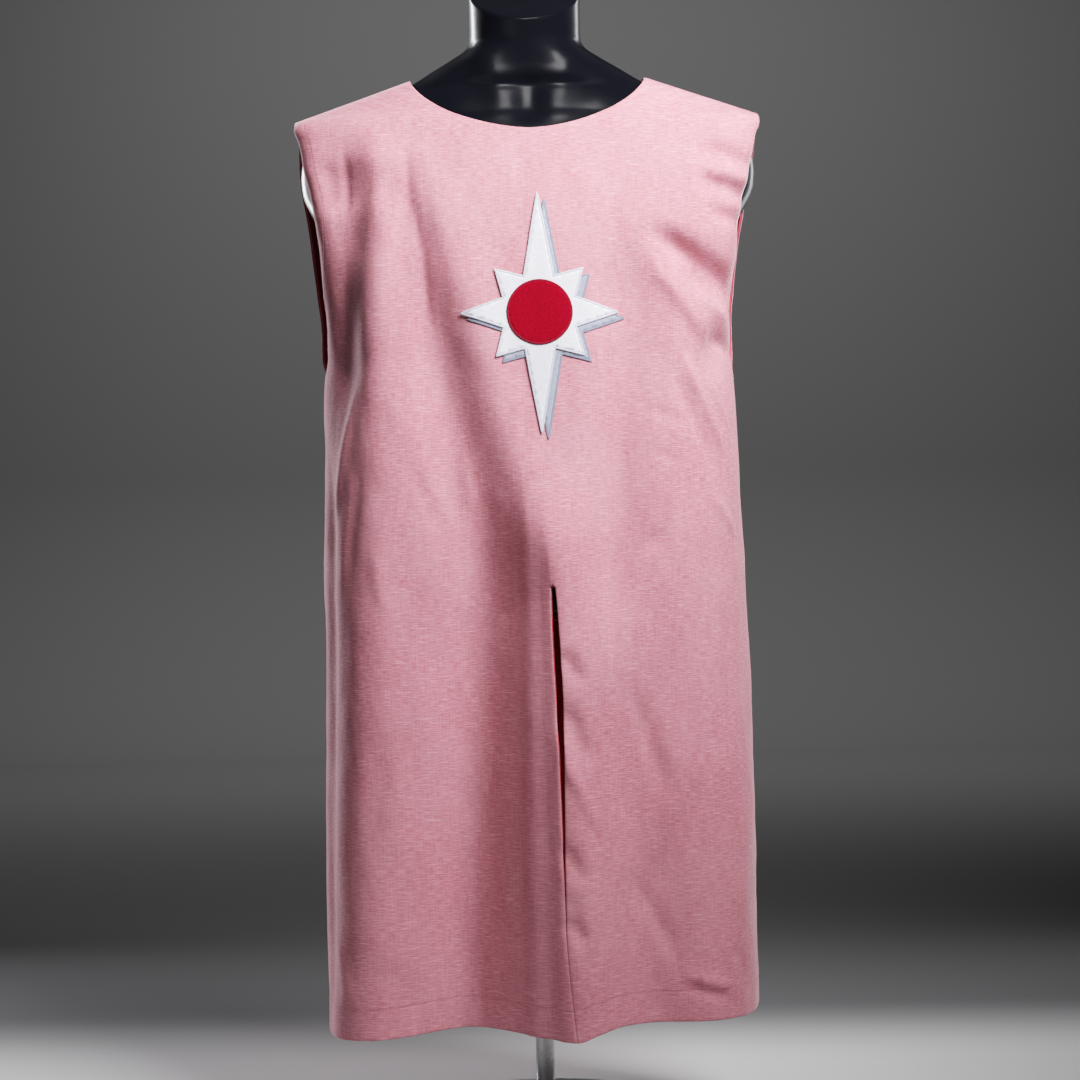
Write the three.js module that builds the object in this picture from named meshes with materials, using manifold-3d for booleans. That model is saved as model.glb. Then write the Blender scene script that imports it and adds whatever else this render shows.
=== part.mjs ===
// A sleeveless, lined tabard with a front slit and a sewn-on badge, worn by a limbless dress form
// on a pole stand. Millimetres, +Z up. The origin is on the floor at the centre of the base plate,
// and the front of the tabard faces -Y.
import * as THREE from "three";
import { mergeVertices } from "three/addons/utils/BufferGeometryUtils.js";
import Module from "manifold-3d";

const wasm = await Module();
wasm.setup();

// ---------- driving dimensions ----------

const NECK_POINT = { x: 120, z: 1063.5 }; // where the shoulder seam meets the neckline
const SHOULDER_TIP = { x: 237, drop: 39.5 }; // the seam's outer end, a drop below the neck point
const NECKLINE = {
  front: { depth: 61.5, roundness: 1.72 },
  back: { depth: 12, roundness: 2.2 },
};
const SLIT_TOP_DROP = 518.5;
const FRONT_HEM_DROP = 959.5; // at the foot of the slit
const UNDERARM_SHARE = 0.29; // of the way from the shoulder tip to the hem
const SEAM_GAP = 0.3; // between neighbouring pieces
const SHELL_THICKNESS = 1.2; // linen
const LINING_THICKNESS = 0.9;
const LINING_HEM_SHARE = 0.98; // the lining ends this share of the way down, above the turned-up hem
const BADGE_THICKNESS = 0.8;

const NECK_CUT = { z: 1154, tilt: THREE.MathUtils.degToRad(32), edge: 3 };
const FORM_BOTTOM_Z = 517;
const BASE = { radius: 150, thickness: 6, bossRadius: 19, bossHeight: 24 };
const POLE_RADIUS = 9.5;
const FLANGE = { radius: 36, thickness: 9 };

// ---------- tables ----------

// Horizontal sections of each panel, by drop below the neck point. half: half-width at the edge or
// side seam. shift: of the whole section towards +X. depth: of the centre from the seam plane.
// edge: of the armhole edge from that plane. square: the curve's exponent. centre: how far the
// centre line has drifted towards +X.
const FRONT_SECTIONS = [
  { drop: 0, half: 237, shift: 0, depth: 66, edge: 0, square: 2.0, centre: 2 },
  { drop: 39.5, half: 237, shift: 0, depth: 78, edge: 0, square: 2.0, centre: 3 },
  { drop: 43, half: 237.5, shift: 0, depth: 80.5, edge: 18, square: 2.05, centre: 3 },
  { drop: 51, half: 237.5, shift: 0, depth: 85, edge: 33, square: 2.1, centre: 4 },
  { drop: 69, half: 231.5, shift: 0, depth: 92, edge: 46, square: 2.15, centre: 5 },
  { drop: 98.5, half: 226.3, shift: 0, depth: 103, edge: 56, square: 2.2, centre: 6 },
  { drop: 138.5, half: 217, shift: -0.7, depth: 116, edge: 58, square: 2.3, centre: 8 },
  { drop: 178.5, half: 211.3, shift: -1.2, depth: 125, edge: 51, square: 2.4, centre: 9 },
  { drop: 216.5, half: 208, shift: -2.2, depth: 131, edge: 41, square: 2.45, centre: 10 },
  { drop: 256.5, half: 205, shift: -2.5, depth: 134, edge: 28, square: 2.5, centre: 11 },
  { drop: 283.5, half: 205, shift: -2.4, depth: 136, edge: 15, square: 2.5, centre: 11.5 },
  { drop: 307, half: 209, shift: -2, depth: 137, edge: 0, square: 2.55, centre: 12 },
  { drop: 353.5, half: 211, shift: -2, depth: 139, edge: 0, square: 2.6, centre: 13 },
  { drop: 453.5, half: 213.5, shift: -1.5, depth: 142, edge: 0, square: 2.7, centre: 15.5 },
  { drop: 553.5, half: 215.5, shift: -1, depth: 144, edge: 0, square: 2.8, centre: 18.5 },
  { drop: 653.5, half: 218, shift: 0, depth: 145, edge: 0, square: 2.85, centre: 21 },
  { drop: 853.5, half: 219.5, shift: 0, depth: 144, edge: 0, square: 2.95, centre: 22.5 },
  { drop: 973.5, half: 219.5, shift: 0, depth: 143, edge: 0, square: 3.0, centre: 32 },
];
const BACK_SECTIONS = [
  { drop: 0, half: 237, shift: 0, depth: 80, edge: 0, square: 2.0, centre: 0 },
  { drop: 39.5, half: 237, shift: 0, depth: 92, edge: 0, square: 2.0, centre: 0 },
  { drop: 43, half: 237.8, shift: 0, depth: 94, edge: 19, square: 2.05, centre: 0 },
  { drop: 51, half: 238.5, shift: 0, depth: 97, edge: 34, square: 2.1, centre: 0 },
  { drop: 69, half: 238.5, shift: -1, depth: 101, edge: 46, square: 2.15, centre: 0 },
  { drop: 98.5, half: 236, shift: -3, depth: 106, edge: 55, square: 2.2, centre: 0 },
  { drop: 138.5, half: 229, shift: -4, depth: 112, edge: 57, square: 2.25, centre: 0 },
  { drop: 178.5, half: 223, shift: -5, depth: 116, edge: 51, square: 2.3, centre: 0 },
  { drop: 216.5, half: 218, shift: -5, depth: 118, edge: 41, square: 2.35, centre: 0 },
  { drop: 256.5, half: 213.5, shift: -4.5, depth: 119, edge: 28, square: 2.4, centre: 0 },
  { drop: 283.5, half: 213, shift: -4, depth: 119.5, edge: 15, square: 2.45, centre: 0 },
  { drop: 307, half: 209, shift: -2, depth: 120, edge: 0, square: 2.5, centre: 0 },
  { drop: 353.5, half: 211, shift: -2, depth: 120, edge: 0, square: 2.5, centre: 0 },
  { drop: 453.5, half: 213.5, shift: -1.5, depth: 121, edge: 0, square: 2.55, centre: 0 },
  { drop: 553.5, half: 215.5, shift: -1, depth: 122.5, edge: 0, square: 2.6, centre: 0 },
  { drop: 653.5, half: 218, shift: 0, depth: 124, edge: 0, square: 2.65, centre: 0 },
  { drop: 853.5, half: 219.5, shift: 0, depth: 128, edge: 0, square: 2.75, centre: 0 },
  { drop: 973.5, half: 219.5, shift: 0, depth: 130, edge: 0, square: 2.8, centre: 0 },
];

// Soft ridges (rise above 0) and troughs (below 0). Each runs from its top to its low end: drop is
// the height, at the place along the section from the middle (+X is positive), bow the sideways
// bulge halfway down, width the standard deviation across, fadeIn and fadeOut the lengths over
// which it comes and goes.
const FRONT_FOLDS = [
  {
    name: "left lobe", drop: [90, 980], at: [-162, -172], bow: 6,
    width: [30, 36], rise: [7, 30], fadeIn: 110, fadeOut: 0,
  },
  {
    name: "diagonal trough", drop: [60, 600], at: [-158, -36], bow: 14,
    width: [22, 30], rise: [-7, -22], fadeIn: 70, fadeOut: 160,
  },
  {
    name: "left flap trough", drop: [430, 980], at: [-46, -82], bow: -4,
    width: [30, 34], rise: [-28, -38], fadeIn: 170, fadeOut: 0,
  },
  {
    name: "slit ridge", drop: [360, 980], at: [25, 40], bow: 0,
    width: [32, 32], rise: [14, 42], fadeIn: 120, fadeOut: 0,
  },
  {
    name: "chest edge", drop: [75, 570], at: [-121, 26], bow: 12,
    width: [17, 20], rise: [6, 8], fadeIn: 60, fadeOut: 110,
  },
  {
    name: "left armpit trough", drop: [85, 350], at: [-180, -224], bow: -4,
    width: [16, 15], rise: [-14, -12], fadeIn: 50, fadeOut: 80,
  },
  {
    name: "left side crease", drop: [350, 980], at: [-226, -232], bow: 0,
    width: [10, 13], rise: [-6, -5], fadeIn: 120, fadeOut: 60,
  },
  {
    name: "right armpit trough", drop: [155, 252], at: [138, 214], bow: -6,
    width: [15, 13], rise: [-8, -10], fadeIn: 40, fadeOut: 35,
  },
  {
    name: "right underarm dent", drop: [252, 340], at: [196, 204], bow: 0,
    width: [11, 11], rise: [-7, -5], fadeIn: 30, fadeOut: 50,
  },
  {
    name: "right waist trough", drop: [150, 600], at: [106, 54], bow: 10,
    width: [24, 22], rise: [-13, -15], fadeIn: 90, fadeOut: 120,
  },
  {
    name: "right flap trough", drop: [590, 980], at: [84, 92], bow: 0,
    width: [22, 28], rise: [-4, -12], fadeIn: 120, fadeOut: 0,
  },
  {
    name: "right lobe", drop: [550, 980], at: [176, 184], bow: 0,
    width: [32, 34], rise: [4, 12], fadeIn: 160, fadeOut: 0,
  },
];
const BACK_FOLDS = [
  {
    name: "left blade trough", drop: [80, 390], at: [-182, -190], bow: 6,
    width: [16, 18], rise: [-10, -9], fadeIn: 60, fadeOut: 130,
  },
  {
    name: "right blade trough", drop: [85, 350], at: [178, 188], bow: -6,
    width: [16, 17], rise: [-9, -8], fadeIn: 60, fadeOut: 120,
  },
  {
    name: "left back lobe", drop: [200, 980], at: [-128, -146], bow: 8,
    width: [34, 40], rise: [4, 22], fadeIn: 140, fadeOut: 0,
  },
  {
    name: "middle back trough", drop: [230, 980], at: [-44, -30], bow: -10,
    width: [28, 34], rise: [-5, -24], fadeIn: 150, fadeOut: 0,
  },
  {
    name: "middle back lobe", drop: [370, 980], at: [38, 52], bow: 6,
    width: [28, 34], rise: [3, 20], fadeIn: 160, fadeOut: 0,
  },
  {
    name: "right back trough", drop: [320, 980], at: [112, 128], bow: 4,
    width: [24, 28], rise: [-4, -17], fadeIn: 150, fadeOut: 0,
  },
];

// The hem's drop, by share of the panel's half-width: -1 and 1 are the side seams.
const FRONT_HEM = [
  { across: -1, drop: 964.5 },
  { across: -0.6, drop: 960 },
  { across: -0.28, drop: 954 },
  { across: 0, drop: FRONT_HEM_DROP },
  { across: 0.07, drop: 953.5 },
  { across: 0.16, drop: 949 },
  { across: 0.6, drop: 949 },
  { across: 1, drop: 943 },
];
const BACK_HEM = [
  { across: -1, drop: 964.5 },
  { across: 0, drop: 952 },
  { across: 1, drop: 943 },
];

// Half of the gap between the two edges of the slit.
const SLIT_GAP = [
  { drop: 518.5, half: 2 },
  { drop: 545, half: 3.1 },
  { drop: 585, half: 3.7 },
  { drop: 645, half: 3.3 },
  { drop: 729.5, half: 1.8 },
  { drop: 809.5, half: 1.1 },
  { drop: 973.5, half: 0.9 },
];

// Columns of the panels' nets from the middle to +X, as shares of the half-width: at the top edge,
// where they crowd round the neck point, and low down. Then their rows, as shares of the way down.
const NECK_SHARE = NECK_POINT.x / SHOULDER_TIP.x;
const FRONT_COLUMNS = [
  { top: 0, low: 0 },
  { top: 0.1, low: 0.07 },
  { top: 0.2, low: 0.14 },
  { top: 0.3, low: 0.215 },
  { top: 0.38, low: 0.3 },
  { top: 0.44, low: 0.38 },
  { top: 0.477, low: 0.45 },
  { top: 0.496, low: 0.515 },
  { top: 0.5045, low: 0.575 },
  { top: NECK_SHARE, low: 0.635 },
  { top: 0.59, low: 0.695 },
  { top: 0.69, low: 0.755 },
  { top: 0.79, low: 0.82 },
  { top: 0.885, low: 0.89 },
  { top: 0.95, low: 0.95 },
  { top: 1, low: 1 },
];
const BACK_COLUMNS = [
  { top: 0, low: 0 },
  { top: 0.12, low: 0.09 },
  { top: 0.24, low: 0.18 },
  { top: 0.34, low: 0.275 },
  { top: 0.42, low: 0.37 },
  { top: 0.475, low: 0.47 },
  { top: 0.5, low: 0.57 },
  { top: NECK_SHARE, low: 0.65 },
  { top: 0.62, low: 0.73 },
  { top: 0.74, low: 0.81 },
  { top: 0.86, low: 0.88 },
  { top: 0.945, low: 0.945 },
  { top: 1, low: 1 },
];
const COLUMNS_SPREAD = { share: 0.3, power: 0.35 }; // they fan out fast just under the top edge
const frontDrop = (drop) =>
  (drop - NECKLINE.front.depth) / (FRONT_HEM_DROP - NECKLINE.front.depth);
const FRONT_DOWN = [
  0, 0.003, 0.012, 0.03, 0.055, 0.085, 0.12, 0.16, 0.2, 0.245, UNDERARM_SHARE, 0.335, 0.38, 0.425, 0.468,
  frontDrop(SLIT_TOP_DROP), 0.53, 0.56, 0.605, 0.655, 0.71, 0.765, 0.82, 0.875, 0.93, LINING_HEM_SHARE, 1,
];
const BACK_DOWN = [
  0, 0.003, 0.012, 0.03, 0.055, 0.09, 0.13, 0.18, 0.235, UNDERARM_SHARE, 0.35, 0.42, 0.49, 0.57, 0.65,
  0.73, 0.81, 0.89, 0.94, LINING_HEM_SHARE, 1,
];

// The dress form's sections: half-width, and depth in front of and behind the seam plane.
const FORM_SECTIONS = [
  { z: FORM_BOTTOM_Z, half: 152, front: 88, back: 90, square: 2.3 },
  { z: 524, half: 160, front: 95, back: 98, square: 2.3 },
  { z: 545, half: 164, front: 99, back: 103, square: 2.3 },
  { z: 590, half: 163, front: 101, back: 105, square: 2.3 },
  { z: 650, half: 156, front: 98, back: 97, square: 2.25 },
  { z: 705, half: 152, front: 96, back: 88, square: 2.2 },
  { z: 760, half: 157, front: 102, back: 91, square: 2.2 },
  { z: 810, half: 165, front: 112, back: 100, square: 2.2 },
  { z: 850, half: 173, front: 119, back: 106, square: 2.2 },
  { z: 882, half: 189, front: 118, back: 107, square: 2.15 },
  { z: 908, half: 210, front: 113, back: 106, square: 2.1 },
  { z: 932, half: 225, front: 106, back: 103, square: 2.1 },
  { z: 948, half: 231.5, front: 100, back: 100, square: 2.05 },
  { z: 965, half: 233, front: 92, back: 97, square: 2.05 },
  { z: 988, half: 230, front: 84, back: 93, square: 2.0 },
  { z: 1005, half: 224, front: 78, back: 90, square: 2.0 },
];
const FORM_NECK = [
  { z: 1060.5, half: 117, front: 61, back: 74, square: 2.0 },
  { z: 1072, half: 98, front: 59, back: 71, square: 2.0 },
  { z: 1084, half: 77.5, front: 57.5, back: 67, square: 2.0 },
  { z: 1093, half: 63.5, front: 57, back: 64, square: 2.0 },
  { z: 1101, half: 58, front: 57, back: 62, square: 2.0 },
  { z: 1110, half: 57, front: 57, back: 61, square: 2.0 },
];
const FORM_SIDES = 40;
const FORM_CLEARANCE = 4.0; // from the linen's outer face, past the lining, at the shoulders

// The badge: an eight-rayed star with a shadow cut from a second cloth, and a round piece on it.
const BADGE = { x: 9, drop: 250, long: 118, wide: 76, short: 60, valley: 38, roundel: 31 };
const SHADOW_SHIFT = { x: 6.5, z: -6 };
const ROUNDEL_SIDES = 28;

const LINEN = { color: 0xe6a9b1, roughness: 0.9, metalness: 0 };
const LINING = { color: 0x8c1420, roughness: 0.85, metalness: 0 };
const WHITE = { color: 0xe9e9f2, roughness: 0.8, metalness: 0 };
const GREY = { color: 0xa4aabd, roughness: 0.8, metalness: 0 };
const RED = { color: 0xb50d2d, roughness: 0.8, metalness: 0 };
const GLOSS_BLACK = { color: 0x14161c, roughness: 0.12, metalness: 0 };
const STEEL = { color: 0x9a9c9e, roughness: 0.35, metalness: 1 };

// ---------- interpolation ----------

const mix = (a, b, t) => a + (b - a) * t;
const smooth = (t) => {
  const c = Math.min(1, Math.max(0, t));
  return c * c * (3 - 2 * c);
};

// The slope of a table's column at row i that never overshoots its neighbours.
function slopeAt(table, key, column, i) {
  const step = (k) =>
    (table[k + 1][column] - table[k][column]) / (table[k + 1][key] - table[k][key]);
  if (i === 0) return step(0);
  if (i === table.length - 1) return step(i - 1);
  const before = step(i - 1);
  const after = step(i);
  return before * after > 0 ? (2 * before * after) / (before + after) : 0;
}

// A table's column at value, along a smooth curve through its rows.
function look(table, key, column, value) {
  const last = table.length - 1;
  if (value <= table[0][key]) return table[0][column];
  if (value >= table[last][key]) return table[last][column];
  const i = table.findIndex((row, k) => value < table[k + 1][key]);
  const span = table[i + 1][key] - table[i][key];
  const t = (value - table[i][key]) / span;
  const [a, b] = [table[i][column], table[i + 1][column]];
  const [sa, sb] = [slopeAt(table, key, column, i), slopeAt(table, key, column, i + 1)];
  const t2 = t * t;
  const t3 = t2 * t;
  return (
    a * (2 * t3 - 3 * t2 + 1) +
    b * (3 * t2 - 2 * t3) +
    sa * span * (t3 - 2 * t2 + t) +
    sb * span * (t3 - t2)
  );
}

// ---------- the cloth's surface ----------

// The half-width that the cloth reaches at a drop: the shoulder line above the tip.
function reachAt(sections, drop) {
  if (drop >= SHOULDER_TIP.drop) return look(sections, "drop", "half", drop);
  return mix(NECK_POINT.x, SHOULDER_TIP.x, drop / SHOULDER_TIP.drop);
}

// A section of a panel from its centre (angle 0) to its edge (angle 90 degrees), with its
// length as a running sum.
function sectionAt(sections, drop) {
  const column = (name) => look(sections, "drop", name, drop);
  const section = {
    reach: reachAt(sections, drop),
    depth: column("depth"),
    edge: column("edge"),
    power: 2 / column("square"),
    shift: column("shift"),
    centre: column("centre"),
  };
  section.point = (angle) => ({
    x: section.reach * Math.sin(angle) ** section.power,
    y: section.edge + (section.depth - section.edge) * Math.cos(angle) ** section.power,
  });
  const steps = 60;
  section.lengths = [0];
  for (let k = 1; k <= steps; k++) {
    const a = section.point(((k - 1) / steps) * (Math.PI / 2));
    const b = section.point((k / steps) * (Math.PI / 2));
    section.lengths.push(section.lengths[k - 1] + Math.hypot(a.x - b.x, a.y - b.y));
  }
  section.length = section.lengths[steps];
  section.angleAtLength = (length) => {
    const k = Math.max(1, section.lengths.findIndex((sum) => sum >= length - 1e-9));
    const [a, b] = [section.lengths[k - 1], section.lengths[k]];
    return ((k - 1 + (length - a) / (b - a)) / steps) * (Math.PI / 2);
  };
  return section;
}

// How far the folds move the cloth outwards, at a drop and a signed distance from the middle.
function foldRise(folds, drop, along) {
  let rise = 0;
  for (const fold of folds) {
    const [top, low] = fold.drop;
    const t = (drop - top) / (low - top);
    if (t < 0 || t > 1) continue;
    const middle = mix(fold.at[0], fold.at[1], t) + fold.bow * 4 * t * (1 - t);
    const width = mix(fold.width[0], fold.width[1], t);
    const comes = fold.fadeIn ? smooth((drop - top) / fold.fadeIn) : 1;
    const goes = fold.fadeOut ? smooth((low - drop) / fold.fadeOut) : 1;
    const across = (along - middle) / width;
    rise += mix(fold.rise[0], fold.rise[1], t) * comes * goes * Math.exp(-0.5 * across * across);
  }
  return rise;
}

// The outer face of a panel. side is -1 for the front and 1 for the back, across runs from -1 to 1,
// and sideways moves the point along the cloth.
function clothPoint(side, sections, folds, across, drop, sideways = 0) {
  const section = sectionAt(sections, drop);
  const drift = section.centre * (1 - across * across) + sideways;
  const byLength = across * section.length + drift;
  const byWidth = across * SHOULDER_TIP.x + drift;
  const hand = (byLength || across) < 0 ? -1 : 1;
  const width = drop < SHOULDER_TIP.drop ? section.reach : SHOULDER_TIP.x;
  const share = Math.min(1, Math.abs(byWidth) / width);
  const upperAngle = Math.asin(share ** (1 / section.power));
  const lowerAngle = section.angleAtLength(Math.min(section.length, Math.abs(byLength)));
  const angle = mix(upperAngle, lowerAngle, smooth((drop - 45) / 220));
  const { x, y } = section.point(angle);
  const [before, after] = [
    section.point(Math.max(0, angle - 0.02)),
    section.point(Math.min(Math.PI / 2, angle + 0.02)),
  ];
  const tangent = new THREE.Vector2(after.x - before.x, after.y - before.y).normalize();
  const rise = foldRise(folds, drop, byLength) * smooth((drop - 40) / 60);
  return new THREE.Vector3(
    hand * (x - tangent.y * rise) + section.shift,
    side * (y + tangent.x * rise),
    NECK_POINT.z - drop,
  );
}

// The drop of a panel's top edge: the neckline between the neck points, the shoulder line beyond.
function topDrop(neckline, across) {
  const x = Math.abs(across) * SHOULDER_TIP.x;
  if (x >= NECK_POINT.x)
    return ((x - NECK_POINT.x) / (SHOULDER_TIP.x - NECK_POINT.x)) * SHOULDER_TIP.drop;
  return neckline.depth * (1 - (x / NECK_POINT.x) ** neckline.roundness) ** (1 / neckline.roundness);
}

// The net of a panel: rows of points, and the triangles between them, facing out. Below a slit the
// middle column is two columns, one for each edge.
function panelNet({ side, sections, folds, neckline, hem, columns, down, slit }) {
  const points = [];
  const seamed = [];
  const mirrored = columns.slice(1).reverse();
  const across = [...mirrored.map(({ top, low }) => ({ top: -top, low: -low })), ...columns];
  const rows = down.map((share) =>
    across.map(({ top, low }) => {
      const u = mix(top, low, Math.min(1, share / COLUMNS_SPREAD.share) ** COLUMNS_SPREAD.power);
      const drop = mix(topDrop(neckline, top), look(hem, "across", "drop", low), share);
      const onShoulder = share === 0 && Math.abs(top) >= NECK_SHARE;
      const onSide = Math.abs(u) === 1 && share >= UNDERARM_SHARE;
      const open = slit && u === 0 && share > frontDrop(SLIT_TOP_DROP);
      const half = open ? look(SLIT_GAP, "drop", "half", drop) : 0;
      return [-half, half].slice(0, open ? 2 : 1).map((sideways) => {
        const point = clothPoint(side, sections, folds, u, drop, sideways);
        if (onShoulder || onSide) point.y = (side * SEAM_GAP) / 2;
        points.push(point);
        seamed.push(onShoulder || onSide);
        return points.length - 1;
      });
    }),
  );
  const triangles = [];
  for (let r = 0; r + 1 < rows.length; r++)
    for (let c = 0; c + 1 < across.length; c++) {
      const [topLeft, lowLeft] = [rows[r][c].at(-1), rows[r + 1][c].at(-1)];
      const [topRight, lowRight] = [rows[r][c + 1][0], rows[r + 1][c + 1][0]];
      const even = c < across.length / 2 ? [topRight, lowLeft] : [topLeft, lowRight];
      const cell =
        even[0] === topRight
          ? [[topLeft, lowLeft, topRight], [topRight, lowLeft, lowRight]]
          : [[topLeft, lowLeft, lowRight], [topLeft, lowRight, topRight]];
      for (const [a, b, d] of cell) triangles.push(side < 0 ? [a, b, d] : [a, d, b]);
    }
  return { points, triangles, rows, normals: netNormals(points, triangles, seamed) };
}

// Unit normals at a net's points, each facet weighted by its angle there. At a seam they stay in
// the seam's own plane.
function netNormals(points, triangles, seamed) {
  const normals = points.map(() => new THREE.Vector3());
  for (const corners of triangles) {
    const facet = new THREE.Triangle(...corners.map((k) => points[k]));
    const normal = facet.getNormal(new THREE.Vector3());
    corners.forEach((k, i) => {
      const toNext = points[corners[(i + 1) % 3]].clone().sub(points[k]);
      const toLast = points[corners[(i + 2) % 3]].clone().sub(points[k]);
      normals[k].addScaledVector(normal, toNext.angleTo(toLast));
    });
  }
  normals.forEach((normal, k) => {
    if (seamed[k]) normal.y = 0;
    normal.normalize();
  });
  return normals;
}

// A closed wall between two offsets from a net, outer above inner, with rims along its free edges.
function wallOf(net, outer, inner) {
  const count = net.points.length;
  const at = (k, offset) => net.points[k].clone().addScaledVector(net.normals[k], offset);
  const corners = [
    ...net.points.map((p, k) => at(k, outer)),
    ...net.points.map((p, k) => at(k, inner)),
  ];
  const faces = [];
  const edges = new Set(
    net.triangles.flatMap(([a, b, c]) => [`${a},${b}`, `${b},${c}`, `${c},${a}`]),
  );
  for (const [a, b, c] of net.triangles)
    faces.push([a, b, c], [a + count, c + count, b + count]);
  for (const edge of edges) {
    const [a, b] = edge.split(",").map(Number);
    if (edges.has(`${b},${a}`)) continue;
    faces.push([b, a, a + count], [b, a + count, b + count]);
  }
  const geometry = new THREE.BufferGeometry();
  geometry.setAttribute(
    "position",
    new THREE.Float32BufferAttribute(corners.flatMap((p) => [p.x, p.y, p.z]), 3),
  );
  geometry.setIndex(faces.flat());
  geometry.computeVertexNormals();
  return geometry;
}

// The net without its lowest cells, so that a lining ends above the hem.
function withoutHem(net) {
  const hem = new Set(net.rows.at(-1).flat());
  return { ...net, triangles: net.triangles.filter((corners) => !corners.some((k) => hem.has(k))) };
}

// ---------- solids cut from other solids ----------

function toManifold(geometry) {
  const bare = geometry.clone();
  for (const name of Object.keys(bare.attributes))
    if (name !== "position") bare.deleteAttribute(name);
  const merged = mergeVertices(bare, 1e-4);
  return new wasm.Manifold(
    new wasm.Mesh({
      numProp: 3,
      vertProperties: merged.attributes.position.array,
      triVerts: new Uint32Array(merged.index.array),
    }),
  );
}

function fromManifold(solid) {
  const mesh = solid.getMesh();
  const geometry = new THREE.BufferGeometry();
  geometry.setAttribute("position", new THREE.Float32BufferAttribute(mesh.vertProperties, 3));
  geometry.setIndex(Array.from(mesh.triVerts));
  geometry.computeVertexNormals();
  return geometry;
}

// A cutter with an outline in X and Z that passes through the front of the chest.
function cutterOf(outline) {
  const shape = new THREE.Shape(outline.map(([x, z]) => new THREE.Vector2(x, z)));
  const reach = 300;
  return new THREE.ExtrudeGeometry(shape, { depth: reach, bevelEnabled: false })
    .rotateX(Math.PI / 2)
    .translate(BADGE.x, 0, NECK_POINT.z - BADGE.drop);
}

function starOutline() {
  const rays = 8;
  const outline = [];
  for (let k = 0; k < rays; k++) {
    const ray = [BADGE.long, BADGE.short, BADGE.wide, BADGE.short][k % 4];
    for (const [radius, turn] of [[ray, k], [BADGE.valley, k + 0.5]]) {
      const angle = (turn / rays) * 2 * Math.PI;
      outline.push([radius * Math.sin(angle), radius * Math.cos(angle)]);
    }
  }
  return outline.reverse();
}

function roundelOutline(radius) {
  return Array.from({ length: ROUNDEL_SIDES }, (_, k) => {
    const angle = (k / ROUNDEL_SIDES) * 2 * Math.PI;
    return [radius * Math.cos(angle), radius * Math.sin(angle)];
  });
}

// One piece of the badge: a layer over the front panel, cut to an outline.
function badgePiece(net, outline, layer) {
  const inner = SEAM_GAP + layer * (BADGE_THICKNESS + SEAM_GAP);
  const sheet = toManifold(wallOf(net, inner + BADGE_THICKNESS, inner));
  return fromManifold(sheet.intersect(toManifold(cutterOf(outline))));
}

// ---------- the dress form and its stand ----------

// A closed loft through rings of points, with flat ends.
function loftOf(rings) {
  const sides = rings[0].length;
  const points = rings.flat();
  const ends = [rings[0], rings.at(-1)].map((ring) => {
    const middle = new THREE.Vector3();
    for (const p of ring) middle.addScaledVector(p, 1 / sides);
    points.push(middle);
    return points.length - 1;
  });
  const faces = [];
  const last = (rings.length - 1) * sides;
  for (let k = 0; k < sides; k++) {
    const next = (k + 1) % sides;
    for (let r = 0; r < last; r += sides)
      faces.push([r + k, r + next, r + sides + next], [r + k, r + sides + next, r + sides + k]);
    faces.push([ends[0], next, k], [ends[1], last + k, last + next]);
  }
  const geometry = new THREE.BufferGeometry();
  geometry.setAttribute(
    "position",
    new THREE.Float32BufferAttribute(points.flatMap((p) => [p.x, p.y, p.z]), 3),
  );
  geometry.setIndex(faces.flat());
  geometry.computeVertexNormals();
  return geometry;
}

// A ring of the form, inset from its section, on a level or tilted plane.
function formRing({ z, half, front, back, square }, inset = 0, tilt = 0) {
  return Array.from({ length: FORM_SIDES }, (_, k) => {
    const angle = (k / FORM_SIDES) * 2 * Math.PI;
    const [c, s] = [Math.cos(angle), Math.sin(angle)];
    const x = (half - inset) * Math.sign(c) * Math.abs(c) ** (2 / square);
    const y = ((s < 0 ? front : back) - inset) * Math.sign(s) * Math.abs(s) ** (2 / square);
    return new THREE.Vector3(x, y, z + y * Math.tan(tilt));
  });
}

// The form's shoulders run under the cloth's shoulder line, a clearance below it.
function shoulderSections() {
  const levels = 5;
  return Array.from({ length: levels }, (_, k) => {
    const drop = mix(SHOULDER_TIP.drop, 0, mix(0.15, 0.85, k / (levels - 1)));
    return {
      z: NECK_POINT.z - drop - FORM_CLEARANCE,
      half: reachAt(FRONT_SECTIONS, drop),
      front: look(FRONT_SECTIONS, "drop", "depth", drop) - FORM_CLEARANCE - 3,
      back: look(BACK_SECTIONS, "drop", "depth", drop) - FORM_CLEARANCE - 1,
      square: 2,
    };
  });
}

function formTorso() {
  const neck = FORM_NECK.at(-1);
  const cut = { ...neck, z: NECK_CUT.z };
  const rounding = NECK_CUT.edge / 3;
  const rings = [...FORM_SECTIONS, ...shoulderSections(), ...FORM_NECK].map((s) => formRing(s));
  rings.push(formRing({ ...cut, z: cut.z - NECK_CUT.edge }, 0, NECK_CUT.tilt));
  rings.push(formRing({ ...cut, z: cut.z - rounding }, rounding, NECK_CUT.tilt));
  rings.push(formRing(cut, NECK_CUT.edge, NECK_CUT.tilt));
  return loftOf(rings);
}

function turned(profile, sides) {
  const corners = profile.map(([radius, z]) => new THREE.Vector2(radius, z));
  return new THREE.LatheGeometry(corners, sides).rotateX(Math.PI / 2);
}

function standBase() {
  const { radius, thickness, bossRadius, bossHeight } = BASE;
  const chamfer = 1.5;
  return turned(
    [
      [0, 0],
      [radius, 0],
      [radius, thickness - chamfer],
      [radius - chamfer, thickness],
      [bossRadius + chamfer, thickness],
      [bossRadius, thickness + chamfer],
      [bossRadius, bossHeight - chamfer],
      [bossRadius - chamfer, bossHeight],
      [0, bossHeight],
    ],
    48,
  );
}

function disc(radius, low, high, sides) {
  return turned([[0, low], [radius, low], [radius, high], [0, high]], sides);
}

// ---------- assembly ----------

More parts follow.
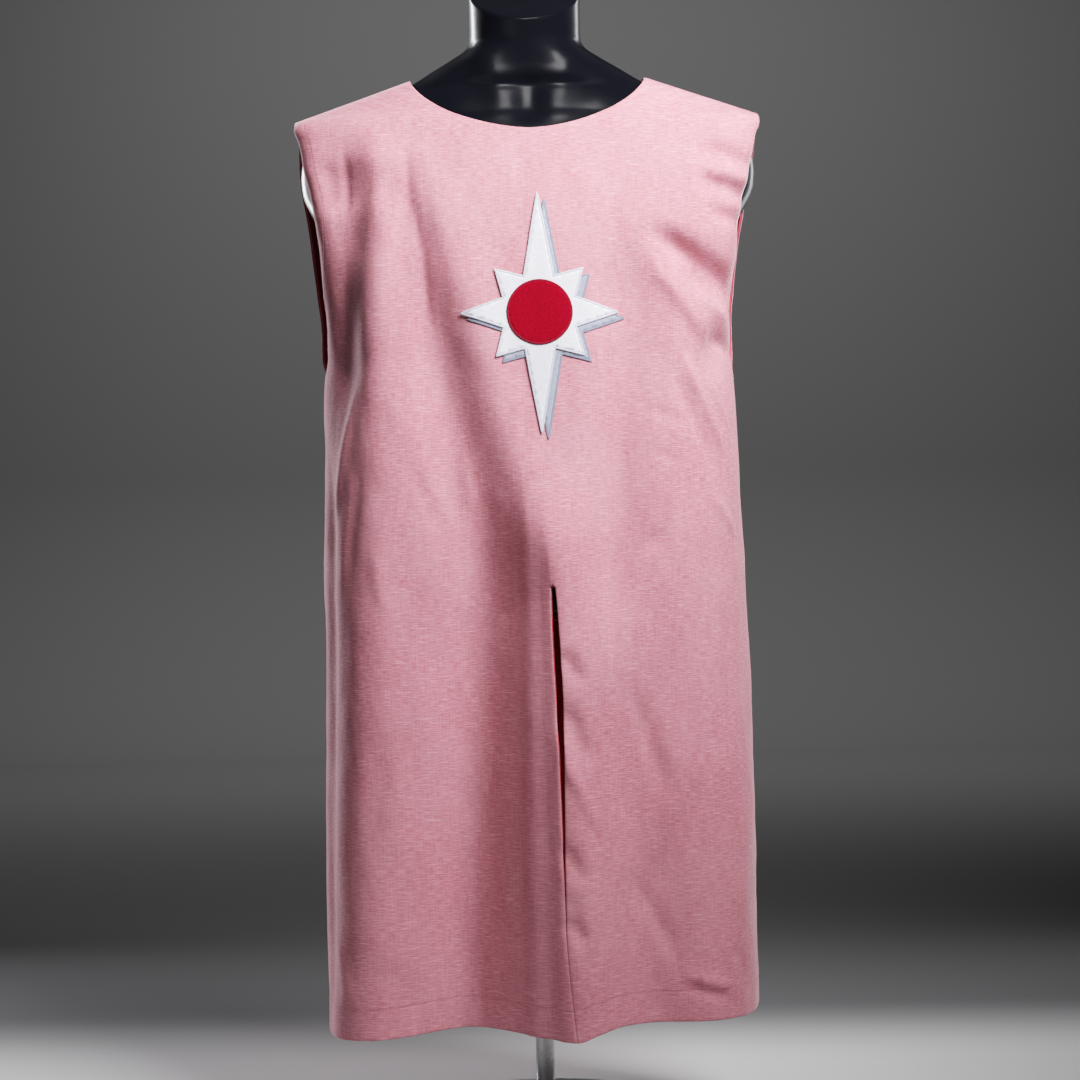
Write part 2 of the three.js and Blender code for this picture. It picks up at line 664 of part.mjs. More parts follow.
const frontNet = panelNet({
  side: -1,
  sections: FRONT_SECTIONS,
  folds: FRONT_FOLDS,
  neckline: NECKLINE.front,
  hem: FRONT_HEM,
  columns: FRONT_COLUMNS,
  down: FRONT_DOWN,
  slit: true,
});
const backNet = panelNet({
  side: 1,
  sections: BACK_SECTIONS,
  folds: BACK_FOLDS,
  neckline: NECKLINE.back,
  hem: BACK_HEM,
  columns: BACK_COLUMNS,
  down: BACK_DOWN,
  slit: false,
});

const tabard = new THREE.Group();
function add(name, geometry, finish) {
  const mesh = new THREE.Mesh(geometry, new THREE.MeshStandardMaterial(finish));
  mesh.name = name;
  tabard.add(mesh);
}

const liningOuter = -SHELL_THICKNESS - SEAM_GAP;
add("front_panel", wallOf(frontNet, 0, -SHELL_THICKNESS), LINEN);
add("back_panel", wallOf(backNet, 0, -SHELL_THICKNESS), LINEN);
const liningInner = liningOuter - LINING_THICKNESS;
add("front_lining", wallOf(withoutHem(frontNet), liningOuter, liningInner), LINING);
add("back_lining", wallOf(withoutHem(backNet), liningOuter, liningInner), LINING);

const star = starOutline();
const shadow = star.map(([x, z]) => [x + SHADOW_SHIFT.x, z + SHADOW_SHIFT.z]);
add("badge_shadow", badgePiece(frontNet, shadow, 0), GREY);
add("badge_star", badgePiece(frontNet, star, 1), WHITE);
add("badge_roundel", badgePiece(frontNet, roundelOutline(BADGE.roundel), 2), RED);

const flangeTop = FORM_BOTTOM_Z - SEAM_GAP;
const flangeLow = flangeTop - FLANGE.thickness;
add("form_torso", formTorso(), GLOSS_BLACK);
add("stand_flange", disc(FLANGE.radius, flangeLow, flangeTop, 32), STEEL);
add("stand_pole", disc(POLE_RADIUS, BASE.bossHeight + SEAM_GAP, flangeLow - SEAM_GAP, 24), STEEL);
add("stand_base", standBase(), STEEL);

export default tabard;
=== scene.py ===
"""A pink linen tabard on a glossy black dress form: fine cloth, badge, stitching, stand and studio."""

import math

import bpy
import numpy as np
from mathutils import Matrix, Vector
from mathutils.bvhtree import BVHTree
from mathutils.geometry import delaunay_2d_cdt


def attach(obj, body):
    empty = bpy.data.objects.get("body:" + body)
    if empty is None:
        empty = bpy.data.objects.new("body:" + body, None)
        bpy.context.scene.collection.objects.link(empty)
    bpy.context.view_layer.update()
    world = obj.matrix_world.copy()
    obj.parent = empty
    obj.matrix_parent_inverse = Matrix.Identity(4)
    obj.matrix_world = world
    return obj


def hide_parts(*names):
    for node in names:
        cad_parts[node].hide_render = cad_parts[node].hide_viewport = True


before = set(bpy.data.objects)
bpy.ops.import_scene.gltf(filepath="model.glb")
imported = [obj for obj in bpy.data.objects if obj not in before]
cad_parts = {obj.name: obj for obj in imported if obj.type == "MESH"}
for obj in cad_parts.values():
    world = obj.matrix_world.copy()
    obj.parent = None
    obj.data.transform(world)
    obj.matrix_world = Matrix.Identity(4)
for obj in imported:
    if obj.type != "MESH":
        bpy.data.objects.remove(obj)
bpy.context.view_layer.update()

MM = 0.001  # tables are in millimetres, Blender is in metres

# --- the camera ---

CAMERA_AT = (0.00515, -2.8, 0.590)
CAMERA_LENS = 90.6
CAMERA_ROLL = math.radians(1.15)  # the object's right side sits a little higher

camera = bpy.data.objects.new("camera", bpy.data.cameras.new("camera"))
camera.data.lens = CAMERA_LENS
camera.data.sensor_width = 36.0
right = Vector((math.cos(CAMERA_ROLL), 0, -math.sin(CAMERA_ROLL)))
up = Vector((math.sin(CAMERA_ROLL), 0, math.cos(CAMERA_ROLL)))
back = Vector((0, -1, 0))
camera.matrix_world = Matrix.Translation(CAMERA_AT) @ Matrix((right, up, back)).transposed().to_4x4()
bpy.context.scene.collection.objects.link(camera)
bpy.context.scene.camera = camera

# --- the cloth's dimensions ---

NECK_POINT_X, NECK_POINT_Z = 120.0, 1063.5  # where the shoulder seam meets the neckline
TIP_X, TIP_DROP = 237.0, 39.5  # the seam's outer end, as a drop below the neck point
FRONT_NECK_DEPTH, BACK_NECK_DEPTH = 61.5, 12.0
SLIT_TOP = 518.5
FRONT_HEM_DROP = 959.5  # at the foot of the slit
UNDERARM_SHARE = 0.29  # of the way from the top edge to the hem
SEAM_GAP = 0.3
LINEN_THICKNESS, LINING_THICKNESS = 1.2, 0.9
LINING_GAP = 0.8  # between the linen and its lining
LINING_HEM_SHARE = 0.98  # the lining ends this share of the way down
LINING_RECESS = 2.5  # and starts this far below the linen's top edge
HEM_FOLD = 30.0  # width of the turned-up hem
EDGE_FOLD = 15.0  # width of the turned-in strip at the side edges
CLOTH_HALF, CLOTH_LENGTH = 300.0, 930.0  # a panel laid flat, roughly: they turn sizes into shares
NO_EDGE = 999.0  # the distance from an edge that isn't there

# Horizontal sections of each panel's outer face, by drop below the neck point: drop, half-width,
# shift, depth, edge depth, exponent, drift of the centre line
FRONT_SECTIONS = np.array([
    (0, 237, 0, 66, 0, 2, 2),
    (39.5, 237, 0, 78, 0, 2, 3),
    (43, 237.5, 0, 80.5, 18, 2.05, 3),
    (51, 237.5, 0, 85, 33, 2.1, 4),
    (69, 231.5, 0, 92, 46, 2.15, 5),
    (98.5, 226.3, 0, 103, 56, 2.2, 6),
    (138.5, 217, -0.7, 116, 58, 2.3, 8),
    (178.5, 211.3, -1.2, 125, 51, 2.4, 9),
    (216.5, 208, -2.2, 131, 41, 2.45, 10),
    (256.5, 205, -2.5, 134, 28, 2.5, 11),
    (283.5, 205, -2.4, 136, 15, 2.5, 11.5),
    (307, 209, -2, 137, 0, 2.55, 12),
    (353.5, 211, -2, 139, 0, 2.6, 13),
    (453.5, 213.5, -1.5, 142, 0, 2.7, 15.5),
    (553.5, 215.5, -1, 144, 0, 2.8, 18.5),
    (653.5, 218, 0, 145, 0, 2.85, 21),
    (853.5, 219.5, 0, 144, 0, 2.95, 22.5),
    (973.5, 219.5, 0, 143, 0, 3, 32),
])
BACK_SECTIONS = np.array([
    (0, 237, 0, 80, 0, 2, 0),
    (39.5, 237, 0, 92, 0, 2, 0),
    (43, 237.8, 0, 94, 19, 2.05, 0),
    (51, 238.5, 0, 97, 34, 2.1, 0),
    (69, 238.5, -1, 101, 46, 2.15, 0),
    (98.5, 236, -3, 106, 55, 2.2, 0),
    (138.5, 229, -4, 112, 57, 2.25, 0),
    (178.5, 223, -5, 116, 51, 2.3, 0),
    (216.5, 218, -5, 118, 41, 2.35, 0),
    (256.5, 213.5, -4.5, 119, 28, 2.4, 0),
    (283.5, 213, -4, 119.5, 15, 2.45, 0),
    (307, 209, -2, 120, 0, 2.5, 0),
    (353.5, 211, -2, 120, 0, 2.5, 0),
    (453.5, 213.5, -1.5, 121, 0, 2.55, 0),
    (553.5, 215.5, -1, 122.5, 0, 2.6, 0),
    (653.5, 218, 0, 124, 0, 2.65, 0),
    (853.5, 219.5, 0, 128, 0, 2.75, 0),
    (973.5, 219.5, 0, 130, 0, 2.8, 0),
])

# The large folds: drop from, to, place from, to, bow, width from, to, rise from, to, fade in, out
FRONT_FOLDS = {
    "left lobe": (90, 980, -162, -172, 6, 30, 36, 4, 28, 110, 0),
    "diagonal trough": (60, 600, -158, -36, 14, 22, 30, -7, -22, 70, 160),
    "left flap trough": (430, 980, -46, -82, -4, 30, 34, -28, -38, 170, 0),
    "slit ridge": (360, 980, 25, 40, 0, 32, 32, 14, 42, 120, 0),
    "chest edge": (75, 570, -121, 26, 12, 18, 20, 4.5, 8, 70, 110),
    "left armpit trough": (80, 430, -174, -186, -5, 16, 16, -10, -8, 50, 150),
    "left side crease": (350, 980, -226, -232, 0, 10, 13, -6, -5, 120, 60),
    "right armpit trough": (155, 252, 138, 214, -6, 15, 13, -8, -10, 40, 35),
    "right underarm dent": (252, 340, 196, 204, 0, 11, 11, -7, -5, 30, 50),
    "right waist trough": (150, 600, 106, 54, 10, 24, 22, -13, -15, 90, 120),
    "right flap trough": (590, 980, 84, 92, 0, 22, 28, -4, -12, 120, 0),
    "right lobe": (550, 980, 176, 184, 0, 32, 34, 4, 12, 160, 0),
}
BACK_FOLDS = {
    "left blade trough": (80, 390, -182, -190, 6, 16, 18, -10, -9, 60, 130),
    "right blade trough": (85, 350, 178, 188, -6, 16, 17, -9, -8, 60, 120),
    "left back lobe": (200, 980, -128, -146, 8, 34, 40, 4, 22, 140, 0),
    "middle back trough": (230, 980, -44, -30, -10, 28, 34, -5, -24, 150, 0),
    "middle back lobe": (370, 980, 38, 52, 6, 28, 34, 3, 20, 160, 0),
    "right back trough": (320, 980, 112, 128, 4, 24, 28, -4, -17, 150, 0),
}

CREASE_STRENGTH = 1.35  # all the small creases' rises are multiplied by this
CREASE_FADE = 0.35  # share of its length over which a crease fades at each end
# Small creases on the cloth: place and drop of one end, of the other, width, rise (grooves are negative)
FRONT_CREASES = (
    # left shoulder and chest
    (-192, 78, -199, 150, 4, -2.2), (-210, 84, -216, 150, 11, -3.2), (-204, 30, -209, 390, 17, -6.5),
    (-158, 44, -159, 190, 15, 5), (-127, 74, -126, 165, 4, -1.3), (-113, 160, -97, 275, 3.6, -1),
    (-122, 120, -112, 195, 3.6, -0.9),
    # left waist and side
    (-128, 330, -122, 640, 17, -2.6), (-176, 300, -216, 470, 5, 2.4), (-168, 380, -190, 545, 5.5, -2),
    (-158, 470, -140, 560, 5, 1.2), (-120, 395, -92, 470, 4.4, -1), (-70, 380, -62, 452, 4.5, 1.1),
    # left flap and hem
    (-118, 560, -104, 760, 9, 1.6), (-150, 640, -158, 800, 7, -1.5), (-206, 850, -176, 940, 6, 1.6),
    (-150, 880, -128, 945, 7, -1.6),
    # beside the slit
    (-2, 520, -36, 560, 5, -1.2), (24, 628, 48, 700, 7, -3.8), (20, 660, 34, 720, 4.5, 2.2),
    (22, 578, 44, 618, 6, -3), (20, 764, 42, 812, 6.5, -3), (28, 690, 58, 762, 4, 1.7),
    (26, 800, 44, 905, 4.5, -1.4), (20, 838, 44, 868, 6, -2.6),
    # pressed lines and right flap
    (64, 525, 71, 680, 3.6, 1.1), (70, 660, 62, 945, 3.6, 0.9), (78, 560, 76, 760, 5, -1),
    (86, 600, 132, 742, 7, -2.4), (150, 560, 98, 690, 6, -2), (160, 700, 104, 850, 6.5, -2.2),
    (84, 790, 140, 900, 7, -2.2), (140, 640, 128, 800, 9, 1.8),
    # right hem
    (134, 902, 192, 920, 3.8, 1.9), (132, 912, 186, 931, 4, -1.6), (190, 868, 212, 930, 5, -1.3),
    # right armhole tucks
    (168, 82, 262, 106, 8, -6), (172, 116, 262, 136, 7, -5.6), (182, 148, 266, 162, 6.5, -4.6),
    (172, 101, 250, 118, 6.5, 2.4),
    # right armpit
    (118, 164, 250, 232, 7.5, -5), (150, 206, 270, 236, 13, -6), (120, 190, 196, 292, 5, 2.6),
    (150, 196, 196, 288, 6, 1.8), (168, 222, 230, 262, 6.5, 2.6), (196, 274, 258, 290, 6.5, -4.4),
    # right side and waist
    (150, 282, 212, 400, 3.8, 3.6), (140, 296, 198, 420, 5, -2.8), (180, 300, 222, 372, 3.6, 2.2),
    (186, 428, 232, 478, 4.4, 1.9), (114, 344, 166, 363, 3.8, -1.2), (120, 385, 154, 401, 3.8, -1),
    (112, 470, 132, 484, 9, -2), (206, 520, 196, 690, 7, -1.7), (214, 700, 206, 880, 8, 1.6),
)
BACK_CREASES = (
    # shoulder blades and middle
    (-196, 84, -200, 150, 4.2, -2), (-150, 190, -206, 262, 6, -1.9), (176, 96, 228, 112, 6, -2.3),
    (148, 200, 210, 272, 6, -1.8), (6, 60, 2, 420, 4, 0.9),
    # waist and sides
    (-120, 350, -70, 366, 4, -1.3), (60, 380, 112, 396, 4, -1.2), (-168, 320, -210, 400, 4.4, 1.9),
    (170, 330, 214, 402, 4.4, 1.8),
    # skirt and hem
    (-90, 560, -98, 740, 8, 1.6), (84, 600, 76, 800, 8, -1.5), (-60, 900, -8, 916, 4, 1.7),
    (150, 868, 178, 935, 6, -1.5),
)

# The hem's drop by share of the half-width, and half of the slit's gap by drop
FRONT_HEM = np.array([
    (-1, 964.5), (-0.6, 960), (-0.28, 954), (0, 959.5), (0.07, 953.5), (0.16, 949), (0.6, 949), (1, 943),
])
BACK_HEM = np.array([(-1, 964.5), (0, 952), (1, 943)])
SLIT_GAP = np.array([
    (518.5, 2.0), (545, 3.1), (585, 3.7), (645, 3.3), (729.5, 1.8), (809.5, 0.7), (880, 0.1), (973.5, 0.05),
])

# Columns from the middle to the right: share of the half-width at the top edge, and low down
NECK_SHARE = NECK_POINT_X / TIP_X
FRONT_COLUMNS = np.array([
    (0, 0), (0.1, 0.07), (0.2, 0.14), (0.3, 0.215), (0.38, 0.3), (0.44, 0.38), (0.477, 0.45),
    (0.496, 0.515), (0.5045, 0.575), (NECK_SHARE, 0.635), (0.59, 0.695), (0.69, 0.755), (0.79, 0.82),
    (0.885, 0.89), (0.95, 0.95), (1, 1),
])
BACK_COLUMNS = np.array([
    (0, 0), (0.12, 0.09), (0.24, 0.18), (0.34, 0.275), (0.42, 0.37), (0.475, 0.47), (0.5, 0.57),
    (NECK_SHARE, 0.65), (0.62, 0.73), (0.74, 0.81), (0.86, 0.88), (0.945, 0.945), (1, 1),
])


def front_share(drop):
    """The share of the way down the front's middle, from the neckline to the hem."""
    return (drop - FRONT_NECK_DEPTH) / (FRONT_HEM_DROP - FRONT_NECK_DEPTH)


FRONT_ROWS = [0, 0.003, 0.012, 0.03, UNDERARM_SHARE, front_share(SLIT_TOP), LINING_HEM_SHARE, 1]
BACK_ROWS = [0, 0.003, 0.012, 0.03, UNDERARM_SHARE, LINING_HEM_SHARE, 1]

FRONT = dict(
    side=-1, sections=FRONT_SECTIONS, folds=FRONT_FOLDS, creases=FRONT_CREASES,
    neck_depth=FRONT_NECK_DEPTH, neck_roundness=1.72, hem=FRONT_HEM, columns=FRONT_COLUMNS,
    rows=FRONT_ROWS, slit=True, seed=11,
)
BACK = dict(
    side=1, sections=BACK_SECTIONS, folds=BACK_FOLDS, creases=BACK_CREASES,
    neck_depth=BACK_NECK_DEPTH, neck_roundness=2.2, hem=BACK_HEM, columns=BACK_COLUMNS,
    rows=BACK_ROWS, slit=False, seed=23,
)

# --- smooth interpolation ---

LATTICE = (64, 200)  # random values across and down, more than a panel needs


def mix(a, b, t):
    return a + (b - a) * t


def smooth(t):
    c = np.clip(t, 0, 1)
    return c * c * (3 - 2 * c)


def look(table, column, at):
    """A column's values on a smooth curve through a table's rows, which never overshoots them."""
    keys, values = table[:, 0], table[:, column]
    step = np.diff(values) / np.diff(keys)
    product = step[1:] * step[:-1]
    total = step[1:] + step[:-1]
    inner = np.where(product > 0, 2 * product / np.where(total == 0, 1, total), 0)
    slope = np.concatenate([step[:1], inner, step[-1:]])
    at = np.clip(at, keys[0], keys[-1])
    i = np.clip(np.searchsorted(keys, at, side="right") - 1, 0, len(keys) - 2)
    span = keys[i + 1] - keys[i]
    t = (at - keys[i]) / span
    t2, t3 = t * t, t * t * t
    ends = values[i] * (2 * t3 - 3 * t2 + 1) + values[i + 1] * (3 * t2 - 2 * t3)
    return ends + slope[i] * span * (t3 - 2 * t2 + t) + slope[i + 1] * span * (t3 - t2)


def ripples(place, drop, across_size, down_size, seed):
    """Smooth random values from -1 to 1 over a lattice of the given cell sizes."""
    lattice = np.random.default_rng(seed).uniform(-1, 1, LATTICE)
    a = place / across_size + LATTICE[0] / 2 - 0.5
    d = drop / down_size + 3.5  # so that drops just above the top edge are on it too
    i, j = np.floor(a).astype(int), np.floor(d).astype(int)
    s, t = smooth(a - i), smooth(d - j)
    i, j = np.clip(i, 0, LATTICE[0] - 2), np.clip(j, 0, LATTICE[1] - 2)
    top = mix(lattice[i, j], lattice[i + 1, j], s)
    low = mix(lattice[i, j + 1], lattice[i + 1, j + 1], s)
    return mix(top, low, t)


# --- the cloth's surface ---

CURVE_STEPS = 60  # straight pieces by which a section's curve is measured
NORMAL_TURN = 0.02  # radians to either side of a point, for the curve's direction there
BY_LENGTH_FROM, BY_LENGTH_OVER = 45, 220  # drops over which places turn from width to cloth length
FOLDS_FROM, FOLDS_OVER = 40, 60  # drops over which the large folds set in
CALM_FROM, CALM_OVER = 45, 60  # and the uneven hang
HANG = ((1.3, 36, 90), (0.55, 14, 30))  # height, and size of a cell across and down
ARMHOLE_FROM, ARMHOLE_OVER, ARMHOLE_END, ARMHOLE_OUT = 42, 20, 330, 40  # drops where it puckers
PUCKER_HEIGHT, PUCKER_REACH, PUCKER_LENGTH = 0.55, 13, 6.5
SEAM_FROM, SEAM_REACH = 300, 9  # below this drop the side seam holds the cloth this far in
EDGE_REACH, EDGE_SHARE = 2.5, 0.35  # the outermost cloth keeps only a part of the fine form


def fold_rise(folds, drop, place):
    """The large folds: each runs along a bowed line, and its width and rise change on the way."""
    rise = np.zeros_like(drop)
    for top, low, at_top, at_low, bow, wide_top, wide_low, rise_top, rise_low, comes, goes in folds.values():
        t = (drop - top) / (low - top)
        middle = mix(at_top, at_low, t) + bow * 4 * t * (1 - t)
        window = np.where((t < 0) | (t > 1), 0.0, 1.0)
        if comes:
            window = window * smooth((drop - top) / comes)
        if goes:
            window = window * smooth((low - drop) / goes)
        off = (place - middle) / mix(wide_top, wide_low, t)
        rise += mix(rise_top, rise_low, t) * window * np.exp(-0.5 * off * off)
    return rise


def crease_rise(creases, drop, place):
    """Small ridges and grooves along short lines, each strongest in its middle."""
    rise = np.zeros_like(drop)
    for place_a, drop_a, place_b, drop_b, width, height in creases:
        along = np.array([place_b - place_a, drop_b - drop_a], dtype=float)
        length = math.hypot(*along)
        along /= length
        away = (place - place_a, drop - drop_a)
        t = (away[0] * along[0] + away[1] * along[1]) / length
        off = (away[0] * along[1] - away[1] * along[0]) / width
        window = smooth(t / CREASE_FADE) * smooth((1 - t) / CREASE_FADE)
        rise += height * window * np.exp(-0.5 * off * off)
    return rise


def surface(panel, across, drop, sideways=0.0):
    """Points of a panel's outer face, and each one's place along the cloth from the middle."""
    table = panel["sections"]
    half, shift, depth, edge, square, centre = (look(table, k, drop) for k in range(1, 7))
    power = 2 / square
    reach = np.where(drop >= TIP_DROP, half, mix(NECK_POINT_X, TIP_X, drop / TIP_DROP))

    def curve(angle, p=power, r=reach, e=edge, d=depth):
        return r * np.sin(angle) ** p, e + (d - e) * np.abs(np.cos(angle)) ** p

    column = [v[:, None] for v in (power, reach, edge, depth)]
    xs, ys = curve(np.linspace(0, math.pi / 2, CURVE_STEPS + 1)[None, :], *column)
    pieces = np.hypot(np.diff(xs, axis=1), np.diff(ys, axis=1))
    lengths = np.concatenate([np.zeros((len(drop), 1)), np.cumsum(pieces, axis=1)], axis=1)
    length = lengths[:, -1]
    drift = centre * (1 - across * across) + sideways
    place = across * length + drift
    by_width = across * TIP_X + drift
    hand = np.where(np.where(place != 0, place, across) < 0, -1.0, 1.0)
    width = np.where(drop < TIP_DROP, reach, TIP_X)
    upper = np.arcsin(np.minimum(1, np.abs(by_width) / width) ** (1 / power))
    target = np.minimum(length, np.abs(place))
    k = np.maximum(1, (lengths < target[:, None] - 1e-9).sum(axis=1))
    row = np.arange(len(drop))
    before, after = lengths[row, k - 1], lengths[row, k]
    lower = (k - 1 + (target - before) / (after - before)) / CURVE_STEPS * (math.pi / 2)
    angle = mix(upper, lower, smooth((drop - BY_LENGTH_FROM) / BY_LENGTH_OVER))
    x, y = curve(angle)
    x0, y0 = curve(np.maximum(0, angle - NORMAL_TURN))
    x1, y1 = curve(np.minimum(math.pi / 2, angle + NORMAL_TURN))
    size = np.hypot(x1 - x0, y1 - y0)
    tx, ty = (x1 - x0) / size, (y1 - y0) / size
    rise = fold_rise(panel["folds"], drop, place) * smooth((drop - FOLDS_FROM) / FOLDS_OVER)
    rise = rise + fine_rise(panel, across, drop, place, length)
    points = np.stack(
        [hand * (x - ty * rise) + shift, panel["side"] * (y + tx * rise), NECK_POINT_Z - drop], axis=1
    )
    return points, place


def fine_rise(panel, across, drop, place, length):
    """What only the fine cloth shows: small creases, an uneven hang, and puckers at the armholes."""
    seed = panel["seed"]
    calm = smooth((drop - CALM_FROM) / CALM_OVER)
    rise = CREASE_STRENGTH * crease_rise(panel["creases"], drop, place)
    for k, (height, wide, long) in enumerate(HANG):
        rise = rise + height * ripples(place, drop, wide, long, seed + k) * calm
    from_edge = length * (1 - np.abs(across))
    armhole = smooth((drop - ARMHOLE_FROM) / ARMHOLE_OVER) * smooth((ARMHOLE_END - drop) / ARMHOLE_OUT)
    armhole = armhole * np.exp(-((from_edge / PUCKER_REACH) ** 2))
    rise = rise + PUCKER_HEIGHT * armhole * ripples(place * 0, drop, 1, PUCKER_LENGTH, seed + 2)
    rise = rise * np.where(drop > SEAM_FROM, smooth(from_edge / SEAM_REACH), 1.0)
    return rise * smooth(from_edge / EDGE_REACH + EDGE_SHARE)


def top_drop(panel, across):
    """The drop of the top edge: the neckline inside the neck points, the shoulder line outside."""
    x = np.abs(across) * TIP_X
    inside = np.clip(x / NECK_POINT_X, 0, 1)
    roundness = panel["neck_roundness"]
    neck = panel["neck_depth"] * (1 - inside**roundness) ** (1 / roundness)
    shoulder = (x - NECK_POINT_X) / (TIP_X - NECK_POINT_X) * TIP_DROP
    return np.where(x >= NECK_POINT_X, shoulder, neck)


# --- nets and meshes ---

# Extra columns and rows close to the edges, as shares of the cloth's half-width and length
EXTRA_COLUMNS = (0.0023, 0.0067, 0.9933, 0.9977)
EXTRA_ROWS = (0.0008, front_share(SLIT_TOP) + 0.0006, 0.9978, 0.9993)
# The columns go from their places at the top edge to those low down by this share of the way
SPREAD_END, SPREAD_POWER, SPREAD_START = 0.3, 0.35, 27
SLIT_SWAY = 45.0  # how far from the slit the cloth still moves with its edge
EDGE_ROLL, ROLL_REACH, ROLL_REVERSE = 0.5, 2.4, 0.4  # depth, width, and the reverse side's share


def finer(values, step, extras=()):
    """The values with even steps filled in between them, each no longer than step."""
    filled = [values[0]]
    for a, b in zip(values[:-1], values[1:]):
        count = max(1, int(math.ceil((b - a) / step)))
        filled += [mix(a, b, k / count) for k in range(1, count + 1)]
    return np.unique(np.round(np.concatenate([filled, extras]), 7))


def panel_net(panel, step, hem_cut=False, recess=0.0):
    """A panel's points and faces, its slit cut open, and each point's facts.

    The facts are its place and drop, then its distances from the side edge, hem, slit and top edge.
    """
    low = finer(panel["columns"][:, 1], step / CLOTH_HALF, EXTRA_COLUMNS)
    top = np.interp(low, panel["columns"][:, 1], panel["columns"][:, 0])
    low = np.concatenate([-low[:0:-1], low])
    top = np.concatenate([-top[:0:-1], top])
    share = finer(panel["rows"], step / CLOTH_LENGTH, EXTRA_ROWS)
    if hem_cut:
        share = share[share <= LINING_HEM_SHARE + 1e-6]
    spread = np.minimum(np.minimum(1, share / SPREAD_END) ** SPREAD_POWER, share * SPREAD_START)
    across = mix(top[None, :], low[None, :], spread[:, None])
    top_edge = top_drop(panel, top)[None, :] + recess
    hem = look(panel["hem"], 1, low)[None, :]
    drop = mix(top_edge, hem, share[:, None])
    middle = len(low) // 2
    split = (share > front_share(SLIT_TOP) + 1e-6) & panel["slit"]
    # two grids share all columns: the left one uses the slit's left edge, the right one its right
    gap = np.where(split, look(SLIT_GAP, 1, drop[:, middle]), 0)
    shape = drop.shape
    from_slit = np.abs(across) * CLOTH_HALF
    hand = np.where(np.arange(shape[1]) <= middle, -1.0, 1.0)
    sideways = hand[None, :] * gap[:, None] * (1 - smooth(from_slit / SLIT_SWAY))
    points, place = surface(panel, across.ravel(), drop.ravel(), sideways.ravel())
    points, place = points.reshape(*shape, 3), place.reshape(shape)
    other, other_place = surface(panel, across[:, middle], drop[:, middle], gap)
    on_shoulder = (share[:, None] == 0) & (np.abs(top)[None, :] >= NECK_SHARE)
    on_side = (np.abs(across) == 1) & (share[:, None] >= UNDERARM_SHARE)
    seamed = on_shoulder | on_side
    points[seamed, 1] = panel["side"] * SEAM_GAP / 2
    rows, columns = shape
    index = np.arange(rows * columns).reshape(shape)
    right_index = index.copy()
    right_index[split, middle] = rows * columns + np.arange(split.sum())
    faces = []
    for grid, span in ((index, range(0, middle)), (right_index, range(middle, columns - 1))):
        c = np.array(span)
        a, b = grid[:-1][:, c], grid[1:][:, c]
        d, e = grid[1:][:, c + 1], grid[:-1][:, c + 1]
        quads = np.stack([a, b, d, e], axis=-1).reshape(-1, 4)
        faces.append(quads if panel["side"] < 0 else quads[:, ::-1])
    side_edge = CLOTH_HALF * (1 - np.abs(across))
    slit_side = (drop > SLIT_TOP) & panel["slit"]
    slit_edge = np.where(slit_side, np.abs(place - place[:, middle, None]), NO_EDGE)
    slit_edge[:, middle] = np.where(split, 0.0, NO_EDGE)
    facts = np.stack([place, drop, side_edge, hem - drop, slit_edge, drop - top_edge], axis=-1)
    more = facts[split, middle].copy()
    more[:, 0] = other_place[split]
    return {
        "points": np.concatenate([points.reshape(-1, 3), other[split]]),
        "facts": np.concatenate([facts.reshape(-1, 6), more]),
        "faces": np.concatenate(faces),
        "seamed": np.concatenate([seamed.ravel(), np.zeros(split.sum(), dtype=bool)]),
    }


def unit(vectors):
    """The vectors at length 1."""
    return vectors / np.maximum(np.linalg.norm(vectors, axis=1), 1e-9)[:, None]


def vertex_normals(points, faces, seamed):
    """Unit normals of a net of quads. At a seam they stay in the seam's own plane."""
    a, b, c, d = (points[faces[:, k]] for k in range(4))
    facet = unit(np.cross(c - a, d - b))
    normals = np.zeros_like(points)
    for k in range(4):
        np.add.at(normals, faces[:, k], facet)
    normals[seamed, 1] = 0
    return unit(normals)


def free_edges(faces):
    """Directed edges that only one face has."""
    pairs = np.concatenate([np.stack([faces[:, k], faces[:, (k + 1) % 4]], axis=1) for k in range(4)])
    size = faces.max() + 1
    code = pairs[:, 0].astype(np.int64) * size + pairs[:, 1]
    reverse = pairs[:, 1].astype(np.int64) * size + pairs[:, 0]
    return pairs[~np.isin(code, reverse)]


def wall(net, outer, inner, roll):
    """A closed wall between two offsets from a net, its edges rolled a little inwards."""
    points, faces = net["points"], net["faces"]
    normals = vertex_normals(points, faces, net["seamed"])
    nearest = np.min(net["facts"][:, 2:], axis=1)
    edge = roll * np.clip(1 - nearest / ROLL_REACH, 0, 1) ** 2
    face = points + normals * (outer - edge)[:, None]
    reverse = points + normals * (inner + edge * ROLL_REVERSE)[:, None]
    count = len(points)
    rim = free_edges(faces)
    rims = np.stack([rim[:, 1], rim[:, 0], rim[:, 0] + count, rim[:, 1] + count], axis=1)
    return np.concatenate([face, reverse]), np.concatenate([faces, faces[:, ::-1] + count, rims])


def new_object(name, corners, faces, scale=MM, smooth_shading=True):
    """A mesh object. Its corners are in millimetres unless another scale is given."""
    mesh = bpy.data.meshes.new(name)
    mesh.from_pydata((np.asarray(corners) * scale).tolist(), [], faces)
    if smooth_shading:
        mesh.shade_smooth()
    made = bpy.data.objects.new(name, mesh)
    bpy.context.scene.collection.objects.link(made)
    return made


def face_corners(mesh):
    """The vertex at each corner of each face."""
    corner = np.empty(len(mesh.loops), dtype=np.int32)
    mesh.loops.foreach_get("vertex_index", corner)
    return corner


def give_pattern(mesh, flat):
    """The UV map: flat pattern coordinates in metres, a pair for each corner of each face."""
    layer = mesh.uv_layers.new(name="pattern")
    layer.uv.foreach_set("vector", flat.astype(np.float32).ravel())


